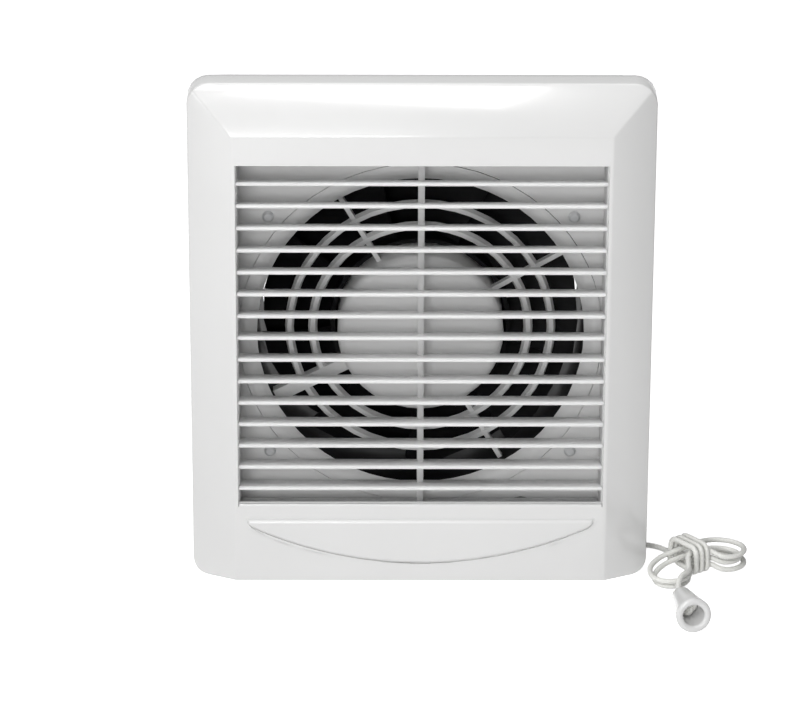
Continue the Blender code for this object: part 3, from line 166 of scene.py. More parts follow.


# Painted light: the cover, the grille and the inside parts are one white plastic in three copies.
# The cover's copy is darker, and the grille's and the inside's are lighter, so the shaded inside
# reads as lit as the cover.
DIMMED_ABS = mottled("white_abs", (0.705, 0.705, 0.702), (0.738, 0.738, 0.735), 9.0, (0.14, 0.24),
              900.0, 0.04, 0.00012, Coat_Weight=0.3, Coat_Roughness=0.06, IOR=1.5)
GRILLE_LIT_ABS = mottled("grille_abs", (0.915, 0.915, 0.913), (0.940, 0.940, 0.938), 9.0, (0.42, 0.54),
                 900.0, 0.04, 0.00012, IOR=1.5, Subsurface_Weight=1.0, Subsurface_Scale=0.008,
                 Subsurface_Radius=(1.0, 1.0, 1.0))
INNER_LIT_ABS = mottled("inner_abs", (0.895, 0.895, 0.892), (0.925, 0.925, 0.922), 12.0, (0.36, 0.46),
                1100.0, 0.08, 0.00015, IOR=1.5)
# The impeller's own black; it is also painted into the throat and the mouth's gap as shade
BLACK = mottled("impeller_black", (0.006, 0.006, 0.007), (0.013, 0.013, 0.014), 20.0,
                (0.5, 0.65), 1400.0, 0.15, 0.0002, Specular_IOR_Level=0.15)
STEEL = mottled("zinc_steel", (0.50, 0.51, 0.53), (0.62, 0.63, 0.65), 300.0, (0.25, 0.4),
                2500.0, 0.1, 0.0001, Metallic=1.0)
SCREW_ZINC = mottled("screw_zinc", (0.74, 0.75, 0.76), (0.82, 0.83, 0.84), 400.0, (0.42, 0.55),
                     2500.0, 0.1, 0.0001, Metallic=0.6)
BRONZE = mottled("sintered_bronze", (0.50, 0.33, 0.16), (0.64, 0.45, 0.24), 500.0,
                 (0.35, 0.5), 3000.0, 0.2, 0.0001, Metallic=1.0)
TAPE = mottled("coil_tape", (0.50, 0.30, 0.07), (0.66, 0.43, 0.13), 60.0, (0.45, 0.6),
               800.0, 0.2, 0.0002)
NYLON = mottled("nylon", (0.76, 0.76, 0.71), (0.82, 0.82, 0.78), 60.0, (0.42, 0.52),
                1500.0, 0.1, 0.0001, Subsurface_Weight=0.05)
RUBBER = mottled("grey_rubber", (0.20, 0.20, 0.20), (0.27, 0.27, 0.27), 80.0, (0.6, 0.75),
                 1800.0, 0.2, 0.0001)


def make_lamination():
    made = Shader("laminated_steel").set(Metallic=1.0)
    sheets = made.noise(1.0, 2.0, (20.0, 3200.0, 20.0))
    made.colour(made.ramp(sheets, (0.20, 0.21, 0.23), (0.42, 0.43, 0.45)))
    made.rough(made.spread(made.noise(200.0), 0.35, 0.5))
    made.bump(sheets, 0.3, 0.0001)
    return made.material


def make_cord_material():
    made = Shader("cord_fibre").set(Sheen_Weight=0.3, Subsurface_Weight=0.15,
                                    Subsurface_Scale=0.0008,
                                    Subsurface_Radius=(1.0, 1.0, 1.0))
    fibres = made.noise(1500.0, 3.0)
    made.colour(made.ramp(fibres, (0.83, 0.83, 0.79), (0.93, 0.93, 0.90)))
    made.rough(made.spread(made.noise(700.0), 0.26, 0.48))
    made.bump(fibres, 0.25, 0.0001)
    return made.material


LAMINATION = make_lamination()
CORD = make_cord_material()

FINISHES = {
    "front_cover": DIMMED_ABS, "louvre_grille": GRILLE_LIT_ABS, "badge_plate": DIMMED_ABS,
    "base_housing": INNER_LIT_ABS, "fan_tube": INNER_LIT_ABS, "motor_guard": INNER_LIT_ABS,
    "impeller_nut": STEEL,
    "motor_stator": LAMINATION, "motor_rotor": LAMINATION, "motor_coil": TAPE,
    "motor_shaft": STEEL, "motor_bridge_front": STEEL, "motor_bridge_rear": STEEL,
    "bearing_front": BRONZE, "bearing_rear": BRONZE,
    "motor_screw_left": STEEL, "motor_screw_right": STEEL,
    "tube_screw_1": SCREW_ZINC, "tube_screw_2": SCREW_ZINC, "tube_screw_3": SCREW_ZINC,
    "tube_screw_4": SCREW_ZINC,
    "switch_body": NYLON, "switch_plunger": NYLON, "switch_spring": STEEL,
    "cord_eyelet": NYLON, "terminal_block": NYLON, "cable_grommet": RUBBER,
    "motor_lead": RUBBER, "switch_lead": RUBBER, "cord_stub": CORD,
}


def smooth(shape, angle=32.0):
    """Smooth shading, except across sharp edges."""
    shape.data.polygons.foreach_set("use_smooth", [True] * len(shape.data.polygons))
    weld = shape.modifiers.new("weld", "WELD")
    weld.merge_threshold = 0.000002
    split = shape.modifiers.new("sharp_edges", "EDGE_SPLIT")
    split.split_angle = math.radians(angle)


for node_name, node_finish in FINISHES.items():
    NODES[node_name].data.materials.clear()
    NODES[node_name].data.materials.append(node_finish)
    smooth(NODES[node_name])


def paint_throat_shade():
    """Painted shade: the throat behind the mouth's rounded edge lies in shade and is painted
    black.
    """
    mesh = NODES["fan_tube"].data
    mesh.materials.append(BLACK)
    turn = NODES["fan_tube"].matrix_world
    for face in mesh.polygons:
        middle = turn @ face.center
        radius = math.hypot(middle.x, middle.z - AXIS_HEIGHT)
        if radius < THROAT_RADIUS + THROAT_SHADE_MARGIN and middle.y > at(BELL_BACK):
            face.material_index = 1


def paint_mouth_gap_shade():
    """Painted shade: the gap between the plate and the mouth is painted black on its upper right
    side, where shade falls in it.
    """
    for name in ("base_housing", "fan_tube"):
        mesh = NODES[name].data
        if name == "base_housing":
            mesh.materials.append(BLACK)
        turn = NODES[name].matrix_world
        for face in mesh.polygons:
            middle = turn @ face.center
            radius = math.hypot(middle.x, middle.z - AXIS_HEIGHT)
            upper_right = (middle.x > SHADED_GAP_LEFT
                           and middle.z > AXIS_HEIGHT - SHADED_GAP_BELOW_AXIS)
            in_gap = abs(radius - MOUTH_RADIUS) < MOUTH_GAP and abs(face.normal.y) < 0.5
            if upper_right and in_gap:
                face.material_index = 1


# Painted shade: black in the throat and in the mouth's gap
paint_throat_shade()
paint_mouth_gap_shade()


def piece(name, mesh, material, body, slot, *nodes):
    """Adds a mesh as a piece that rides on a body and stands for CAD nodes."""
    shape = bpy.data.objects.new(name, mesh)
    SCENE.collection.objects.link(shape)
    mesh.materials.append(material)
    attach(shape, body)
    if nodes:
        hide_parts(*nodes)
    return shape


# Impeller: the CAD shape with round blade tips, drawn out a little further round the axis
BLADE_MIDDLE = 0.0626
BLADE_DRAW_START = 0.0450
BLADE_DRAW_END = 0.0750
BLADE_DRAW = 3.6
BLADE_TIP_RADIUS = 0.0763


def ease(share):
    share = min(1.0, max(0.0, share))
    return share * share * (3.0 - 2.0 * share)


def make_impeller():
    """Blades drawn out from their roots to their tips, on a copy of the CAD mesh."""
    bm = bmesh.new()
    bm.from_mesh(NODES["impeller"].data)
    bm.transform(NODES["impeller"].matrix_world)
    outer = [edge for edge in bm.edges
             if all(math.hypot(vertex.co.x, vertex.co.z - AXIS_HEIGHT) > BLADE_DRAW_END
                    for vertex in edge.verts)]
    bmesh.ops.subdivide_edges(bm, edges=outer, cuts=3)
    for vertex in bm.verts:
        across = vertex.co.x
        height = vertex.co.z - AXIS_HEIGHT
        radius = math.hypot(across, height)
        share = ease((radius - BLADE_DRAW_START) / (BLADE_DRAW_END - BLADE_DRAW_START))
        turn = share * BLADE_DRAW * (vertex.co.y - at(BLADE_MIDDLE))
        reach = BLADE_TIP_RADIUS / radius if radius > BLADE_DRAW_END else 1.0
        vertex.co.x = reach * (across * math.cos(turn) - height * math.sin(turn))
        vertex.co.z = AXIS_HEIGHT + reach * (across * math.sin(turn) + height * math.cos(turn))
    bmesh.ops.triangulate(bm, faces=[face for face in bm.faces if len(face.verts) > 4])
    mesh = bpy.data.meshes.new("fan_blades")
    bm.to_mesh(mesh)
    bm.free()
    smooth(piece("fan_blades", mesh, BLACK, "rotor", "impeller_black", "impeller"))


make_impeller()

# Pull cord: the hank and the sizes are those of the CAD source. The lead's and the tail's
# points aren't: they were chosen again here, because the CAD's give bends that are too tight.
CORD_DIAMETER = 0.0027
CORD_X = 0.0860
CORD_DEPTH = 0.0430
BASE_BOTTOM = 0.0100
BASE_WALL = 0.0022
EYELET_LIP = 0.0012
CORD_STEP = CORD_DIAMETER * 0.3
ROUTE_STEPS = 24
# Bends tighter than the least radius are drawn out, with the points on both sides
LEAST_BEND = 0.0056
EASE_ROUNDS = 40
EASE_REACH = 4
EASE_SHARE = 0.5
CORD_ROUTE = ((0.0000, 0.0430, 0.0072), (0.0008, 0.0429, 0.0043), (0.0029, 0.0425, 0.0022),
              (0.0060, 0.0420, 0.0014), (0.0120, 0.0405, 0.0014), (0.0200, 0.0384, 0.0014),
              (0.0266, 0.0360, 0.0014), (0.0318, 0.0316, 0.0014), (0.0356, 0.0265, 0.0016),
              (0.0398, 0.0241, 0.0025))
TAIL_ROUTE = ((0.0396, -0.0074, 0.0082), (0.0369, -0.0109, 0.0083), (0.0350, -0.0148, 0.0071),
              (0.0346, -0.0182, 0.0055))
HANK_MIDDLE = (0.0418, 0.0132)
HANK_HEADING = 36.0
HANK_BEND = 122.0
HANK_ARC = 0.0340
HANK_STRAIGHT = 0.0045
HANK_HALF_RUN = 0.0176
HANK_FOLD_RADIUS = 0.0080
HANK_FOLD_PITCH = 0.0034
HANK_WAIST = 0.0021
HANK_WAIST_PITCH = 0.0012
HANK_LAYER = 0.0033
HANK_LIFT = 0.0035
HANK_LAYERS = 3
HANK_START = 0.09
HANK_END = 2.64
HANK_POINTS_A_TURN = 24
WRAP_TURNS = 3
WRAP_HALF_WIDTH = 0.0053
PULL_NECK = (0.0347, -0.0218)
PULL_HEADING = -82.0
PULL_LENGTH = 0.0345
PULL_SHOULDER = 0.0065
PULL_SHOULDER_RADIUS = 0.0050
PULL_MOUTH_RADIUS = 0.00825
PULL_BORE_RADIUS = 0.0049
PULL_BORE_DEPTH = 0.0170
PULL_LIP = 0.0015
PULL_NOSE_RADIUS = 0.0024
PULL_BORE_ROUND = 0.0008
PULL_HOLE_CLEARANCE = 0.0002
TABLE_GAP = 0.00005
KNOT_RADIUS = 0.0029
KNOT_RISE = 0.0012
KNOT_STEM = 0.0165
KNOT_PLACE = 0.0204
PULL_BODY = PULL_LENGTH - PULL_LIP - PULL_SHOULDER
PULL_SPREAD = PULL_MOUTH_RADIUS - PULL_SHOULDER_RADIUS
PULL_TILT = math.atan2(PULL_SPREAD, PULL_BODY)
PULL_NECK_HEIGHT = (PULL_SHOULDER_RADIUS * math.cos(PULL_TILT)
                    - PULL_SHOULDER * math.sin(PULL_TILT) + TABLE_GAP)


def hank_place(run, across, height):
    """A place beside the hank's middle line, which bends evenly on both sides of the waist."""
    heading = math.radians(HANK_HEADING)
    radius = HANK_ARC / math.radians(HANK_BEND)
    side = math.copysign(1.0, run)
    straight = min(abs(run), HANK_STRAIGHT)
    curved = min(abs(run) - straight, HANK_ARC / 2)
    rest = abs(run) - straight - curved
    facing = heading - side * curved / radius
    x = CORD_X + HANK_MIDDLE[0] + radius * (math.sin(heading) - math.sin(facing))
    depth = HANK_MIDDLE[1] - radius * (math.cos(heading) - math.cos(facing))
    x += side * (straight * math.cos(heading) + rest * math.cos(facing))
    depth += side * (straight * math.sin(heading) + rest * math.sin(facing))
    return (x - across * math.sin(facing), at(depth + across * math.cos(facing)), height)


def hank_loop(turn, widen):
    """A place on the long loop, as along and across: two runs and two folds a turn."""
    radius = HANK_FOLD_RADIUS + HANK_FOLD_PITCH * widen
    quarters = (turn * 4.0 + 0.5) % 4.0
    inside = quarters % 1.0
    along = HANK_HALF_RUN * (2.0 * inside - 1.0)
    bend = math.pi * inside
    if quarters < 1.0:
        return along, radius
    if quarters < 2.0:
        return HANK_HALF_RUN + radius * math.sin(bend), radius * math.cos(bend)
    if quarters < 3.0:
        return -along, -radius
    return -HANK_HALF_RUN - radius * math.sin(bend), -radius * math.cos(bend)


def hank_point(turn):
    """A place on the cord in the hank, drawn in at the waist and laid up layer on layer."""
    layer = max(0, min(math.floor(turn), HANK_LAYERS - 1))
    widen = turn - layer if layer % 2 else 1.0 - turn + layer
    nearest = round(turn)
    height = layer
    if 0 < nearest < HANK_LAYERS and abs(turn - nearest) < 0.25:
        height = nearest - 1.0 + ease((turn - nearest) * 2.0 + 0.5)
    run, across = hank_loop(turn, widen)
    if abs(run) < HANK_HALF_RUN:
        drawn = HANK_WAIST + HANK_WAIST_PITCH * widen
        wide = drawn + (abs(across) - drawn) * ease(abs(run) / HANK_HALF_RUN)
        across = math.copysign(wide, across)
    lift = HANK_LIFT * (1.0 - ease(abs(run) / (HANK_HALF_RUN + HANK_FOLD_RADIUS)))
    return hank_place(run, across, CORD_DIAMETER / 2 + height * HANK_LAYER + lift)


def hank_line():
    count = round((HANK_END - HANK_START) * HANK_POINTS_A_TURN)
    places = [Vector(hank_point(HANK_START + i / HANK_POINTS_A_TURN))
              for i in range(-1, count + 2)]
    return [(places[i - 1] + places[i] * 2.0 + places[i + 1]) / 4.0
            for i in range(1, len(places) - 1)]


def smooth_route(points, spacing):
    """Evenly spaced places on a smooth curve through the chosen points."""
    chosen = np.array([tuple(p) for p in points], dtype=float)
    ends = np.vstack([2 * chosen[0] - chosen[1], chosen, 2 * chosen[-1] - chosen[-2]])
    fine = []
    for i in range(len(chosen) - 1):
        a, b, c, d = ends[i:i + 4]
        for t in np.linspace(0.0, 1.0, ROUTE_STEPS, endpoint=False):
            fine.append(0.5 * (2 * b + (c - a) * t + (2 * a - 5 * b + 4 * c - d) * t * t
                               + (3 * b - a - 3 * c + d) * t ** 3))
    fine.append(chosen[-1])
    fine = np.array(fine)
    run = np.concatenate([[0.0], np.cumsum(np.linalg.norm(np.diff(fine, axis=0), axis=1))])
    count = max(2, int(round(run[-1] / spacing)) + 1)
    wanted = np.linspace(0.0, run[-1], count)
    return np.stack([np.interp(wanted, run, fine[:, k]) for k in range(3)], 1)


def eased_bends(path, least):
    """The path with each bend tighter than the least radius moved towards its chord."""
    path = path.copy()
    for _ in range(EASE_ROUNDS):
        step = np.diff(path, axis=0)
        size = np.linalg.norm(step, axis=1)
        turn = np.linalg.norm(step[1:] / size[1:, None] - step[:-1] / size[:-1, None], axis=1)
        tight = np.concatenate([[0.0], turn * least > size[1:], [0.0]])
        near = np.convolve(tight, np.ones(2 * EASE_REACH + 1), "same") > 0
        near[[0, -1]] = False
        middle = 0.5 * (np.roll(path, 1, axis=0) + np.roll(path, -1, axis=0))
        path[near] += EASE_SHARE * (middle - path)[near]
        path[:, 2] = np.maximum(path[:, 2], CORD_DIAMETER / 2)
    return path


def route(points):
    return [(CORD_X + x, at(depth), z) for x, depth, z in points]


def pull_matrix():
    x, depth = PULL_NECK
    heading = Matrix.Rotation(math.radians(PULL_HEADING + 90.0), 4, "Z")
    lying = Matrix.Rotation(math.radians(90.0) - PULL_TILT, 4, "X")
    return Matrix.Translation((CORD_X + x, at(depth), PULL_NECK_HEIGHT)) @ heading @ lying


STRANDS = 3
STRAND_TWIST = 0.0062
STRAND_RELIEF = 0.10


def twisted_cord(path, radius, sides=18):
    """A cord's surface: a section with soft lobes that turns evenly along the path."""
    bm = bmesh.new()
    count = len(path)
    steps = np.linalg.norm(np.diff(path, axis=0), axis=1)
    run = np.concatenate([[0.0], np.cumsum(steps)])
    forwards = np.gradient(path, axis=0)
    forwards /= np.linalg.norm(forwards, axis=1)[:, None]
    side = Vector(forwards[0]).orthogonal().normalized()
    rings = []
    for i in range(count):
        ahead = Vector(forwards[i])
        side = (side - ahead * side.dot(ahead)).normalized()
        other = ahead.cross(side)
        turn = 2.0 * math.pi * run[i] / STRAND_TWIST
        ring = []
        for j in range(sides):
            angle = 2.0 * math.pi * j / sides
            lobe = abs(math.cos(STRANDS * angle / 2.0))
            reach = radius * (1.0 - STRAND_RELIEF * (1.0 - lobe) ** 1.5)
            spot = Vector(path[i]) + (side * math.cos(angle + turn)
                                      + other * math.sin(angle + turn)) * reach
            ring.append(bm.verts.new(spot))
        rings.append(ring)
    for low, high in zip(rings[:-1], rings[1:]):
        for j in range(sides):
            k = (j + 1) % sides
            bm.faces.new((low[j], low[k], high[k], high[j])).smooth = True
    bm.faces.new(rings[0][::-1])
    bm.faces.new(rings[-1])
    bmesh.ops.recalc_face_normals(bm, faces=bm.faces[:])
    mesh = bpy.data.meshes.new("twisted_cord")
    bm.to_mesh(mesh)
    bm.free()
    return mesh


def wrap_point(turn):
    """A place on the rounded rectangle that the wrap follows round the hank's waist."""
    half_height = (HANK_LAYERS - 1) * HANK_LAYER / 2
    corner = HANK_LAYER
    sides = (2 * WRAP_HALF_WIDTH, 2 * half_height, 2 * WRAP_HALF_WIDTH, 2 * half_height)
    corners = ((WRAP_HALF_WIDTH, -half_height), (WRAP_HALF_WIDTH, half_height),
               (-WRAP_HALF_WIDTH, half_height), (-WRAP_HALF_WIDTH, -half_height))
    bend = math.pi * corner / 2
    along = (turn % 1.0) * (sum(sides) + 4 * bend)
    for index, (length, (x, z)) in enumerate(zip(sides, corners)):
        facing = math.pi / 2 * index
        outwards = facing - math.pi / 2
        if along < length:
            back = length - along
            return (x - back * math.cos(facing) + corner * math.cos(outwards),
                    z - back * math.sin(facing) + corner * math.sin(outwards))
        along -= length
        if along < bend:
            swing = outwards + along / corner
            return x + corner * math.cos(swing), z + corner * math.sin(swing)
        along -= bend
    return wrap_point(0.0)


def wrap_line():
    middle = CORD_DIAMETER / 2 + HANK_LAYER + (HANK_LAYERS - 1) * HANK_LAYER / 2
    middle += (HANK_LIFT - HANK_LAYER) / 2
    count = WRAP_TURNS * 32
    points = []
    for i in range(count + 1):
        turn = WRAP_TURNS * i / count
        across, height = wrap_point(turn + 0.25)
        run = (turn - WRAP_TURNS / 2) * HANK_LAYER
        points.append(hank_place(run, across, middle + height))
    return np.array(points)


def make_cord():
    x, y = CORD_X, at(CORD_DEPTH)
    start = (x, y, BASE_BOTTOM + BASE_WALL)
    hank = hank_line()
    enter = hank[0] - (hank[1] - hank[0])
    leave = hank[-1] + (hank[-1] - hank[-2])
    place = pull_matrix()
    inside = [place @ Vector((0.0, 0.0, share * PULL_BORE_DEPTH)) for share in (0.0, 0.3, 0.6)]
    points = ([start, (x, y, BASE_BOTTOM - EYELET_LIP)] + route(CORD_ROUTE) + [enter] + hank
              + [leave] + route(TAIL_ROUTE) + inside)
    path = eased_bends(smooth_route(points, CORD_STEP), LEAST_BEND)
    length = float(np.linalg.norm(np.diff(path, axis=0), axis=1).sum())
    cord = piece("pull_cord", twisted_cord(path, CORD_DIAMETER / 2), CORD, "housing", "cord",
                 "cord_lead", "cord_hank", "cord_tail")
    turns = twisted_cord(smooth_route(wrap_line(), CORD_STEP), CORD_DIAMETER / 2)
    wrap = piece("cord_wrap", turns, CORD, "housing", "cord", "hank_tie")
    return cord, wrap, path, start, length


def lathe(name, profile, steps, place):
    """A closed profile of (radius, height) points turned about Z, then put in place."""
    bm = bmesh.new()
    rings = []
    for radius, height in profile:
        rings.append([bm.verts.new((radius * math.cos(2 * math.pi * j / steps),
                                    radius * math.sin(2 * math.pi * j / steps), height))
                      for j in range(steps)])
    count = len(rings)
    for i in range(count):
        low, high = rings[i], rings[(i + 1) % count]
        for j in range(steps):
            k = (j + 1) % steps
            bm.faces.new((low[j], low[k], high[k], high[j])).smooth = True
    bmesh.ops.transform(bm, matrix=place, verts=bm.verts[:])
    bmesh.ops.recalc_face_normals(bm, faces=bm.faces[:])
    mesh = bpy.data.meshes.new(name)
    bm.to_mesh(mesh)
    bm.free()
    return mesh


def make_pull():
    """The bell-shaped pull with a rounded lip and the bore in which the knot sits."""
    hole = CORD_DIAMETER / 2 + PULL_HOLE_CLEARANCE
    profile = [(hole, 0.0)]
    for i in range(9):
        turn = math.pi / 2 * i / 8
        narrowing = (PULL_SHOULDER_RADIUS - PULL_NOSE_RADIUS) * math.cos(turn) ** 1.3
        height = PULL_SHOULDER * (1.0 - math.cos(turn)) ** 0.9 if i < 8 else PULL_SHOULDER
        profile.append((PULL_SHOULDER_RADIUS - narrowing, height))
    for i in range(1, 10):
        share = i / 9
        profile.append((PULL_SHOULDER_RADIUS + PULL_SPREAD * share,
                        PULL_SHOULDER + PULL_BODY * share))
    ring = (PULL_MOUTH_RADIUS - PULL_BORE_RADIUS) / 2
    middle = PULL_BORE_RADIUS + ring
    for i in range(1, 12):
        turn = math.pi * i / 12
        profile.append((middle + ring * math.cos(turn),
                        PULL_LENGTH - PULL_LIP + PULL_LIP * math.sin(turn)))
    profile += [(PULL_BORE_RADIUS, PULL_LENGTH - PULL_LIP),
                (PULL_BORE_RADIUS, PULL_LENGTH - PULL_BORE_DEPTH + PULL_BORE_ROUND),
                (PULL_BORE_RADIUS - PULL_BORE_ROUND, PULL_LENGTH - PULL_BORE_DEPTH),
                (hole, PULL_LENGTH - PULL_BORE_DEPTH)]
    mesh = lathe("pull_bell", profile, 64, pull_matrix())
    return piece("pull_bell", mesh, DIMMED_ABS, "housing", "white_abs", "cord_pull")


def make_knot():
    """The knot at the cord's end, inside the pull, with the stretch of cord that leads to it."""
    place = pull_matrix()
    points = [Vector((0.0, 0.0, PULL_BORE_DEPTH * 0.63)), Vector((0.0, 0.0, KNOT_STEM))]
    count = 36
    for i in range(count + 1):
        turn = math.pi / 3.0 + 2.0 * math.pi * i / count
        reach = KNOT_RADIUS * (2.0 + math.cos(3.0 * turn)) / 3.0
        points.append(Vector((reach * math.cos(2.0 * turn), reach * math.sin(2.0 * turn),
                              KNOT_PLACE + KNOT_RISE * math.sin(3.0 * turn))))
    path = smooth_route([place @ point for point in points], CORD_DIAMETER * 0.2)
    return piece("pull_knot", twisted_cord(path, CORD_DIAMETER / 2), CORD, "housing", "cord")


# Badge: the CAD plate's seat, filled flush, with the raised lens and the groove under it
BADGE_HALF_WIDTH = 0.0812
BADGE_TOP = 0.0319
BADGE_HEIGHT = 0.0227
BADGE_FULLNESS = 0.68
BADGE_TIP_HEIGHT = 0.0013
BADGE_CLEARANCE = 0.00028
BADGE_BACK = 0.0008
PEG_X = 0.0520
PEG_RADIUS = 0.0015
PEG_LENGTH = 0.0024
LENS_HALF_WIDTH = 0.0810
LENS_HEIGHT = 0.0211
LENS_TIP_HEIGHT = 0.0019
LENS_FULLNESS = 0.96
LENS_PROUD = 0.0019
LENS_BEVEL = 0.0017
LENS_LOW_ROUND = 0.0004
LENS_END_ROUND = 0.0014
GROOVE_WIDTH = 0.0017
GROOVE_DEPTH = 0.00075
NOTCH_DEPTH = 0.0012
NOTCH_HALF_WIDTH = 0.0048
NOTCH_WIDTH = 0.0021
NOTCH_BOTTOM = 0.0241
SKIN = 0.00003


def curved_fall(share, tip, height, fullness):
    """How far a lens-shaped outline's lower edge lies under its top, share 0 to 1 of its half."""
    return tip + (height - tip) * max(0.0, 1.0 - share * share) ** fullness


def badge_section(x):
    """The badge's closed section at one place across it, as (z, depth) from the panel."""
    reach = abs(x)
    notched = reach < NOTCH_HALF_WIDTH
    seat_share = min(1.0, reach / (BADGE_HALF_WIDTH + BADGE_CLEARANCE))
    seat_fall = curved_fall(seat_share, BADGE_TIP_HEIGHT, BADGE_HEIGHT, BADGE_FULLNESS)
    seat_top = BADGE_TOP + BADGE_CLEARANCE
    seat_low = BADGE_TOP - (NOTCH_BOTTOM if notched else seat_fall + BADGE_CLEARANCE)
    back = NOTCH_DEPTH + 0.0001 if notched else BADGE_BACK
    lens_share = min(1.0, reach / LENS_HALF_WIDTH)
    fall = curved_fall(lens_share, LENS_TIP_HEIGHT, LENS_HEIGHT, LENS_FULLNESS)
    top = BADGE_TOP
    past = max(0.0, (reach - LENS_HALF_WIDTH + LENS_END_ROUND) / LENS_END_ROUND)
    low = top - fall if past < 1.0 else max(top - fall, seat_low)
    proud = LENS_PROUD * math.sqrt(max(0.0, 1.0 - past * past))
    bevel = min(LENS_BEVEL, (top - low) * 0.6)
    section = [(seat_top, back), (seat_top, 0.0), (top, -SKIN)]
    for i in range(1, 9):
        turn = math.pi / 2 * i / 8
        section.append((top - bevel * (1.0 - math.cos(turn)), -proud * math.sin(turn)))
    edge = low + min(LENS_LOW_ROUND, (top - low) * 0.2)
    for share in (0.3, 0.6, 0.85):
        section.append((top - bevel + (edge - top + bevel) * share,
                        -proud * (1.0 - 0.10 * share * share)))
    for i in range(5):
        turn = math.pi / 2 * i / 4
        section.append((edge - (edge - low) * math.sin(turn),
                        -proud * (0.78 + 0.12 * math.cos(turn))))
    if low < seat_low:
        return section + [(low, -SKIN), (seat_low, -SKIN), (seat_low, back / 3),
                          (seat_low, back * 2 / 3), (seat_low, back)]
    groove = max(low - (NOTCH_WIDTH if notched else GROOVE_WIDTH), seat_low)
    sunk = GROOVE_DEPTH if past < 1.0 else 0.0
    if notched:
        sunk = NOTCH_DEPTH
    return section + [(low, sunk), (groove, sunk), (groove, 0.0), (seat_low, 0.0),
                      (seat_low, back)]


def make_badge():
    """The lens-shaped badge, left bare, with the bright rounded bevel along its top."""
    half = BADGE_HALF_WIDTH + BADGE_CLEARANCE
    places = [half * math.sin(math.radians(-90.0 + 1.5 * i)) for i in range(121)]
    for side in (-1.0, 1.0):
        places += [side * (NOTCH_HALF_WIDTH - 0.00002), side * (NOTCH_HALF_WIDTH + 0.00002)]
        places += [side * (LENS_HALF_WIDTH - LENS_END_ROUND * (1.0 - math.sin(math.pi * i / 12)))
                   for i in range(1, 7)]
    bm = bmesh.new()
    rings = []
    for x in sorted(places):
        rings.append([bm.verts.new((x, at(depth), z)) for z, depth in badge_section(x)])
    for low, high in zip(rings[:-1], rings[1:]):
        for j in range(len(low)):
            k = (j + 1) % len(low)
            bm.faces.new((low[j], low[k], high[k], high[j])).smooth = True
    bm.faces.new(rings[0][::-1])
    bm.faces.new(rings[-1])
    for side in (-1.0, 1.0):
        peg = Matrix.Translation((side * PEG_X, at(BADGE_BACK + PEG_LENGTH / 2 - 0.0002),
                                  BADGE_TOP - BADGE_HEIGHT / 4))
        bmesh.ops.create_cone(bm, cap_ends=True, segments=24, radius1=PEG_RADIUS,
                              radius2=PEG_RADIUS, depth=PEG_LENGTH,
                              matrix=peg @ Matrix.Rotation(math.pi / 2, 4, "X"))
    bmesh.ops.remove_doubles(bm, verts=bm.verts[:], dist=0.000001)
    bmesh.ops.recalc_face_normals(bm, faces=bm.faces[:])
    mesh = bpy.data.meshes.new("badge_lens")
    bm.to_mesh(mesh)
    bm.free()
    smooth(piece("badge_lens", mesh, DIMMED_ABS, "cover", "white_abs", "badge_plate"), 40.0)


# Lower edge of the opening, which runs from the panel over the grille's sill
EDGE_HALF_WIDTH = 0.0848
EDGE_LOW = 0.0378
EDGE_HIGH = 0.0399
EDGE_BACK = 0.0032
EDGE_LAP = 0.0003


def make_opening_edge():
    bm = bmesh.new()
    section = [(EDGE_LOW, EDGE_BACK), (EDGE_LOW, -SKIN)]
    for i in range(9):
        turn = math.pi / 2 * i / 8
        section.append((EDGE_HIGH - (EDGE_HIGH - EDGE_LOW) * 0.45 * (1.0 - math.sin(turn)),
                        EDGE_BACK * 0.7 * (1.0 - math.cos(turn)) - SKIN))
    section.append((EDGE_HIGH - EDGE_LAP, EDGE_BACK))
    ends = [[bm.verts.new((x, at(depth), z)) for z, depth in section]
            for x in (-EDGE_HALF_WIDTH, EDGE_HALF_WIDTH)]
    for j in range(len(section)):
        k = (j + 1) % len(section)
        bm.faces.new((ends[0][j], ends[0][k], ends[1][k], ends[1][j])).smooth = True
    bm.faces.new(ends[0][::-1])
    bm.faces.new(ends[1])
    bmesh.ops.recalc_face_normals(bm, faces=bm.faces[:])
    mesh = bpy.data.meshes.new("opening_edge")
    bm.to_mesh(mesh)
    bm.free()
    smooth(piece("opening_edge", mesh, DIMMED_ABS, "cover", "white_abs"), 40.0)


make_badge()
make_opening_edge()
cord, wrap, cord_path, cord_exit, cord_length = make_cord()
pull = make_pull()
knot = make_knot()


# Floor, background and lights
FLOOR_HALF = 6.0
FLOOR_GREY = 0.86
FLOOR_GLOW = 0.84
WORLD_LIGHT = 0.05
# Each lamp's name, place, target, width and height, and power in watts
LAMPS = (
    ("key", (-0.20, -0.95, 1.00), (0.0, 0.0, 0.12), (0.5, 0.3), 5.2),
    ("front", (-0.30, -1.90, 0.66), (0.0, 0.0, 0.1), (0.6, 0.3), 9.6),
    ("top", (-0.10, -0.05, 1.30), (0.0, 0.0, 0.1), (1.2, 0.8), 7.5),
    ("left", (-1.00, -0.60, 0.30), (0.0, 0.0, 0.1), (0.3, 0.5), 1.7),
    ("bounce", (0.05, -0.80, 0.04), (0.0, 0.0, 0.05), (1.2, 0.10), 0.8),
)


def shown_to_eye(nodes, links):
    """1 for what the camera sees directly, in a reflection or through glass."""
    path = nodes.new("ShaderNodeLightPath")
    seen = path.outputs["Is Camera Ray"]
    for kind in ("Is Glossy Ray", "Is Transmission Ray"):
        either = nodes.new("ShaderNodeMath")
        either.operation = "MAXIMUM"
        links.new(seen, either.inputs[0])
        links.new(path.outputs[kind], either.inputs[1])
        seen = either.outputs[0]
    return seen


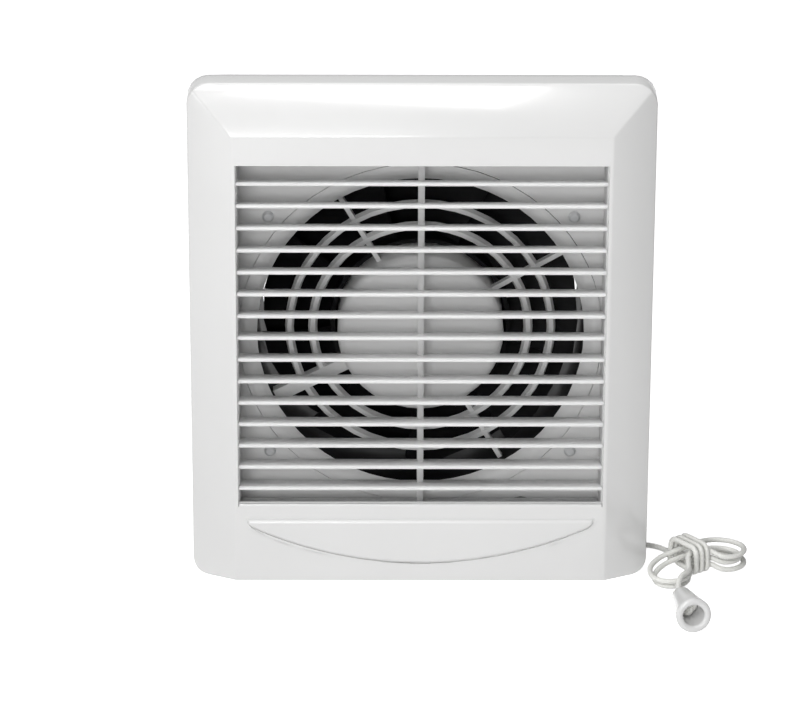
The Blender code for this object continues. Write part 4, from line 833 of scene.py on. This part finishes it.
def make_stage():
    mesh = bpy.data.meshes.new("floor")
    half = FLOOR_HALF
    mesh.from_pydata([(-half, -half, 0.0), (half, -half, 0.0), (half, half, 0.0),
                      (-half, half, 0.0)], [], [(0, 1, 2, 3)])
    floor = bpy.data.objects.new("floor", mesh)
    SCENE.collection.objects.link(floor)
    material = bpy.data.materials.new("floor")
    material.use_nodes = True
    nodes = material.node_tree.nodes
    links = material.node_tree.links
    nodes.clear()
    output = nodes.new("ShaderNodeOutputMaterial")
    both = nodes.new("ShaderNodeAddShader")
    matt = nodes.new("ShaderNodeBsdfDiffuse")
    matt.inputs["Color"].default_value = (FLOOR_GREY, FLOOR_GREY, FLOOR_GREY, 1.0)
    glow = nodes.new("ShaderNodeEmission")
    boost = nodes.new("ShaderNodeMath")
    boost.operation = "MULTIPLY"
    boost.inputs[1].default_value = FLOOR_GLOW
    links.new(shown_to_eye(nodes, links), boost.inputs[0])
    links.new(boost.outputs[0], glow.inputs["Strength"])
    links.new(matt.outputs[0], both.inputs[0])
    links.new(glow.outputs[0], both.inputs[1])
    links.new(both.outputs[0], output.inputs["Surface"])
    mesh.materials.append(material)


def make_world():
    world = bpy.data.worlds.new("studio")
    SCENE.world = world
    world.use_nodes = True
    nodes = world.node_tree.nodes
    links = world.node_tree.links
    nodes.clear()
    output = nodes.new("ShaderNodeOutputWorld")
    plain = nodes.new("ShaderNodeBackground")
    plain.inputs["Strength"].default_value = WORLD_LIGHT
    white = nodes.new("ShaderNodeBackground")
    white.inputs["Strength"].default_value = 1.0
    mix = nodes.new("ShaderNodeMixShader")
    links.new(shown_to_eye(nodes, links), mix.inputs["Fac"])
    links.new(plain.outputs[0], mix.inputs[1])
    links.new(white.outputs[0], mix.inputs[2])
    links.new(mix.outputs[0], output.inputs["Surface"])


def area_light(name, place, target, size, power):
    """A rectangular lamp; the low bounce lamp stays out of the glossy reflections."""
    data = bpy.data.lights.new(name, "AREA")
    data.shape = "RECTANGLE"
    data.size, data.size_y = size
    data.energy = power
    light = bpy.data.objects.new(name, data)
    aim = Vector(target) - Vector(place)
    light.matrix_world = (Matrix.Translation(place)
                          @ aim.to_track_quat("-Z", "Y").to_matrix().to_4x4())
    light.visible_glossy = name != "bounce"
    SCENE.collection.objects.link(light)


make_stage()
make_world()
for lamp in LAMPS:
    area_light(*lamp)

SCENE.view_settings.view_transform = "Standard"
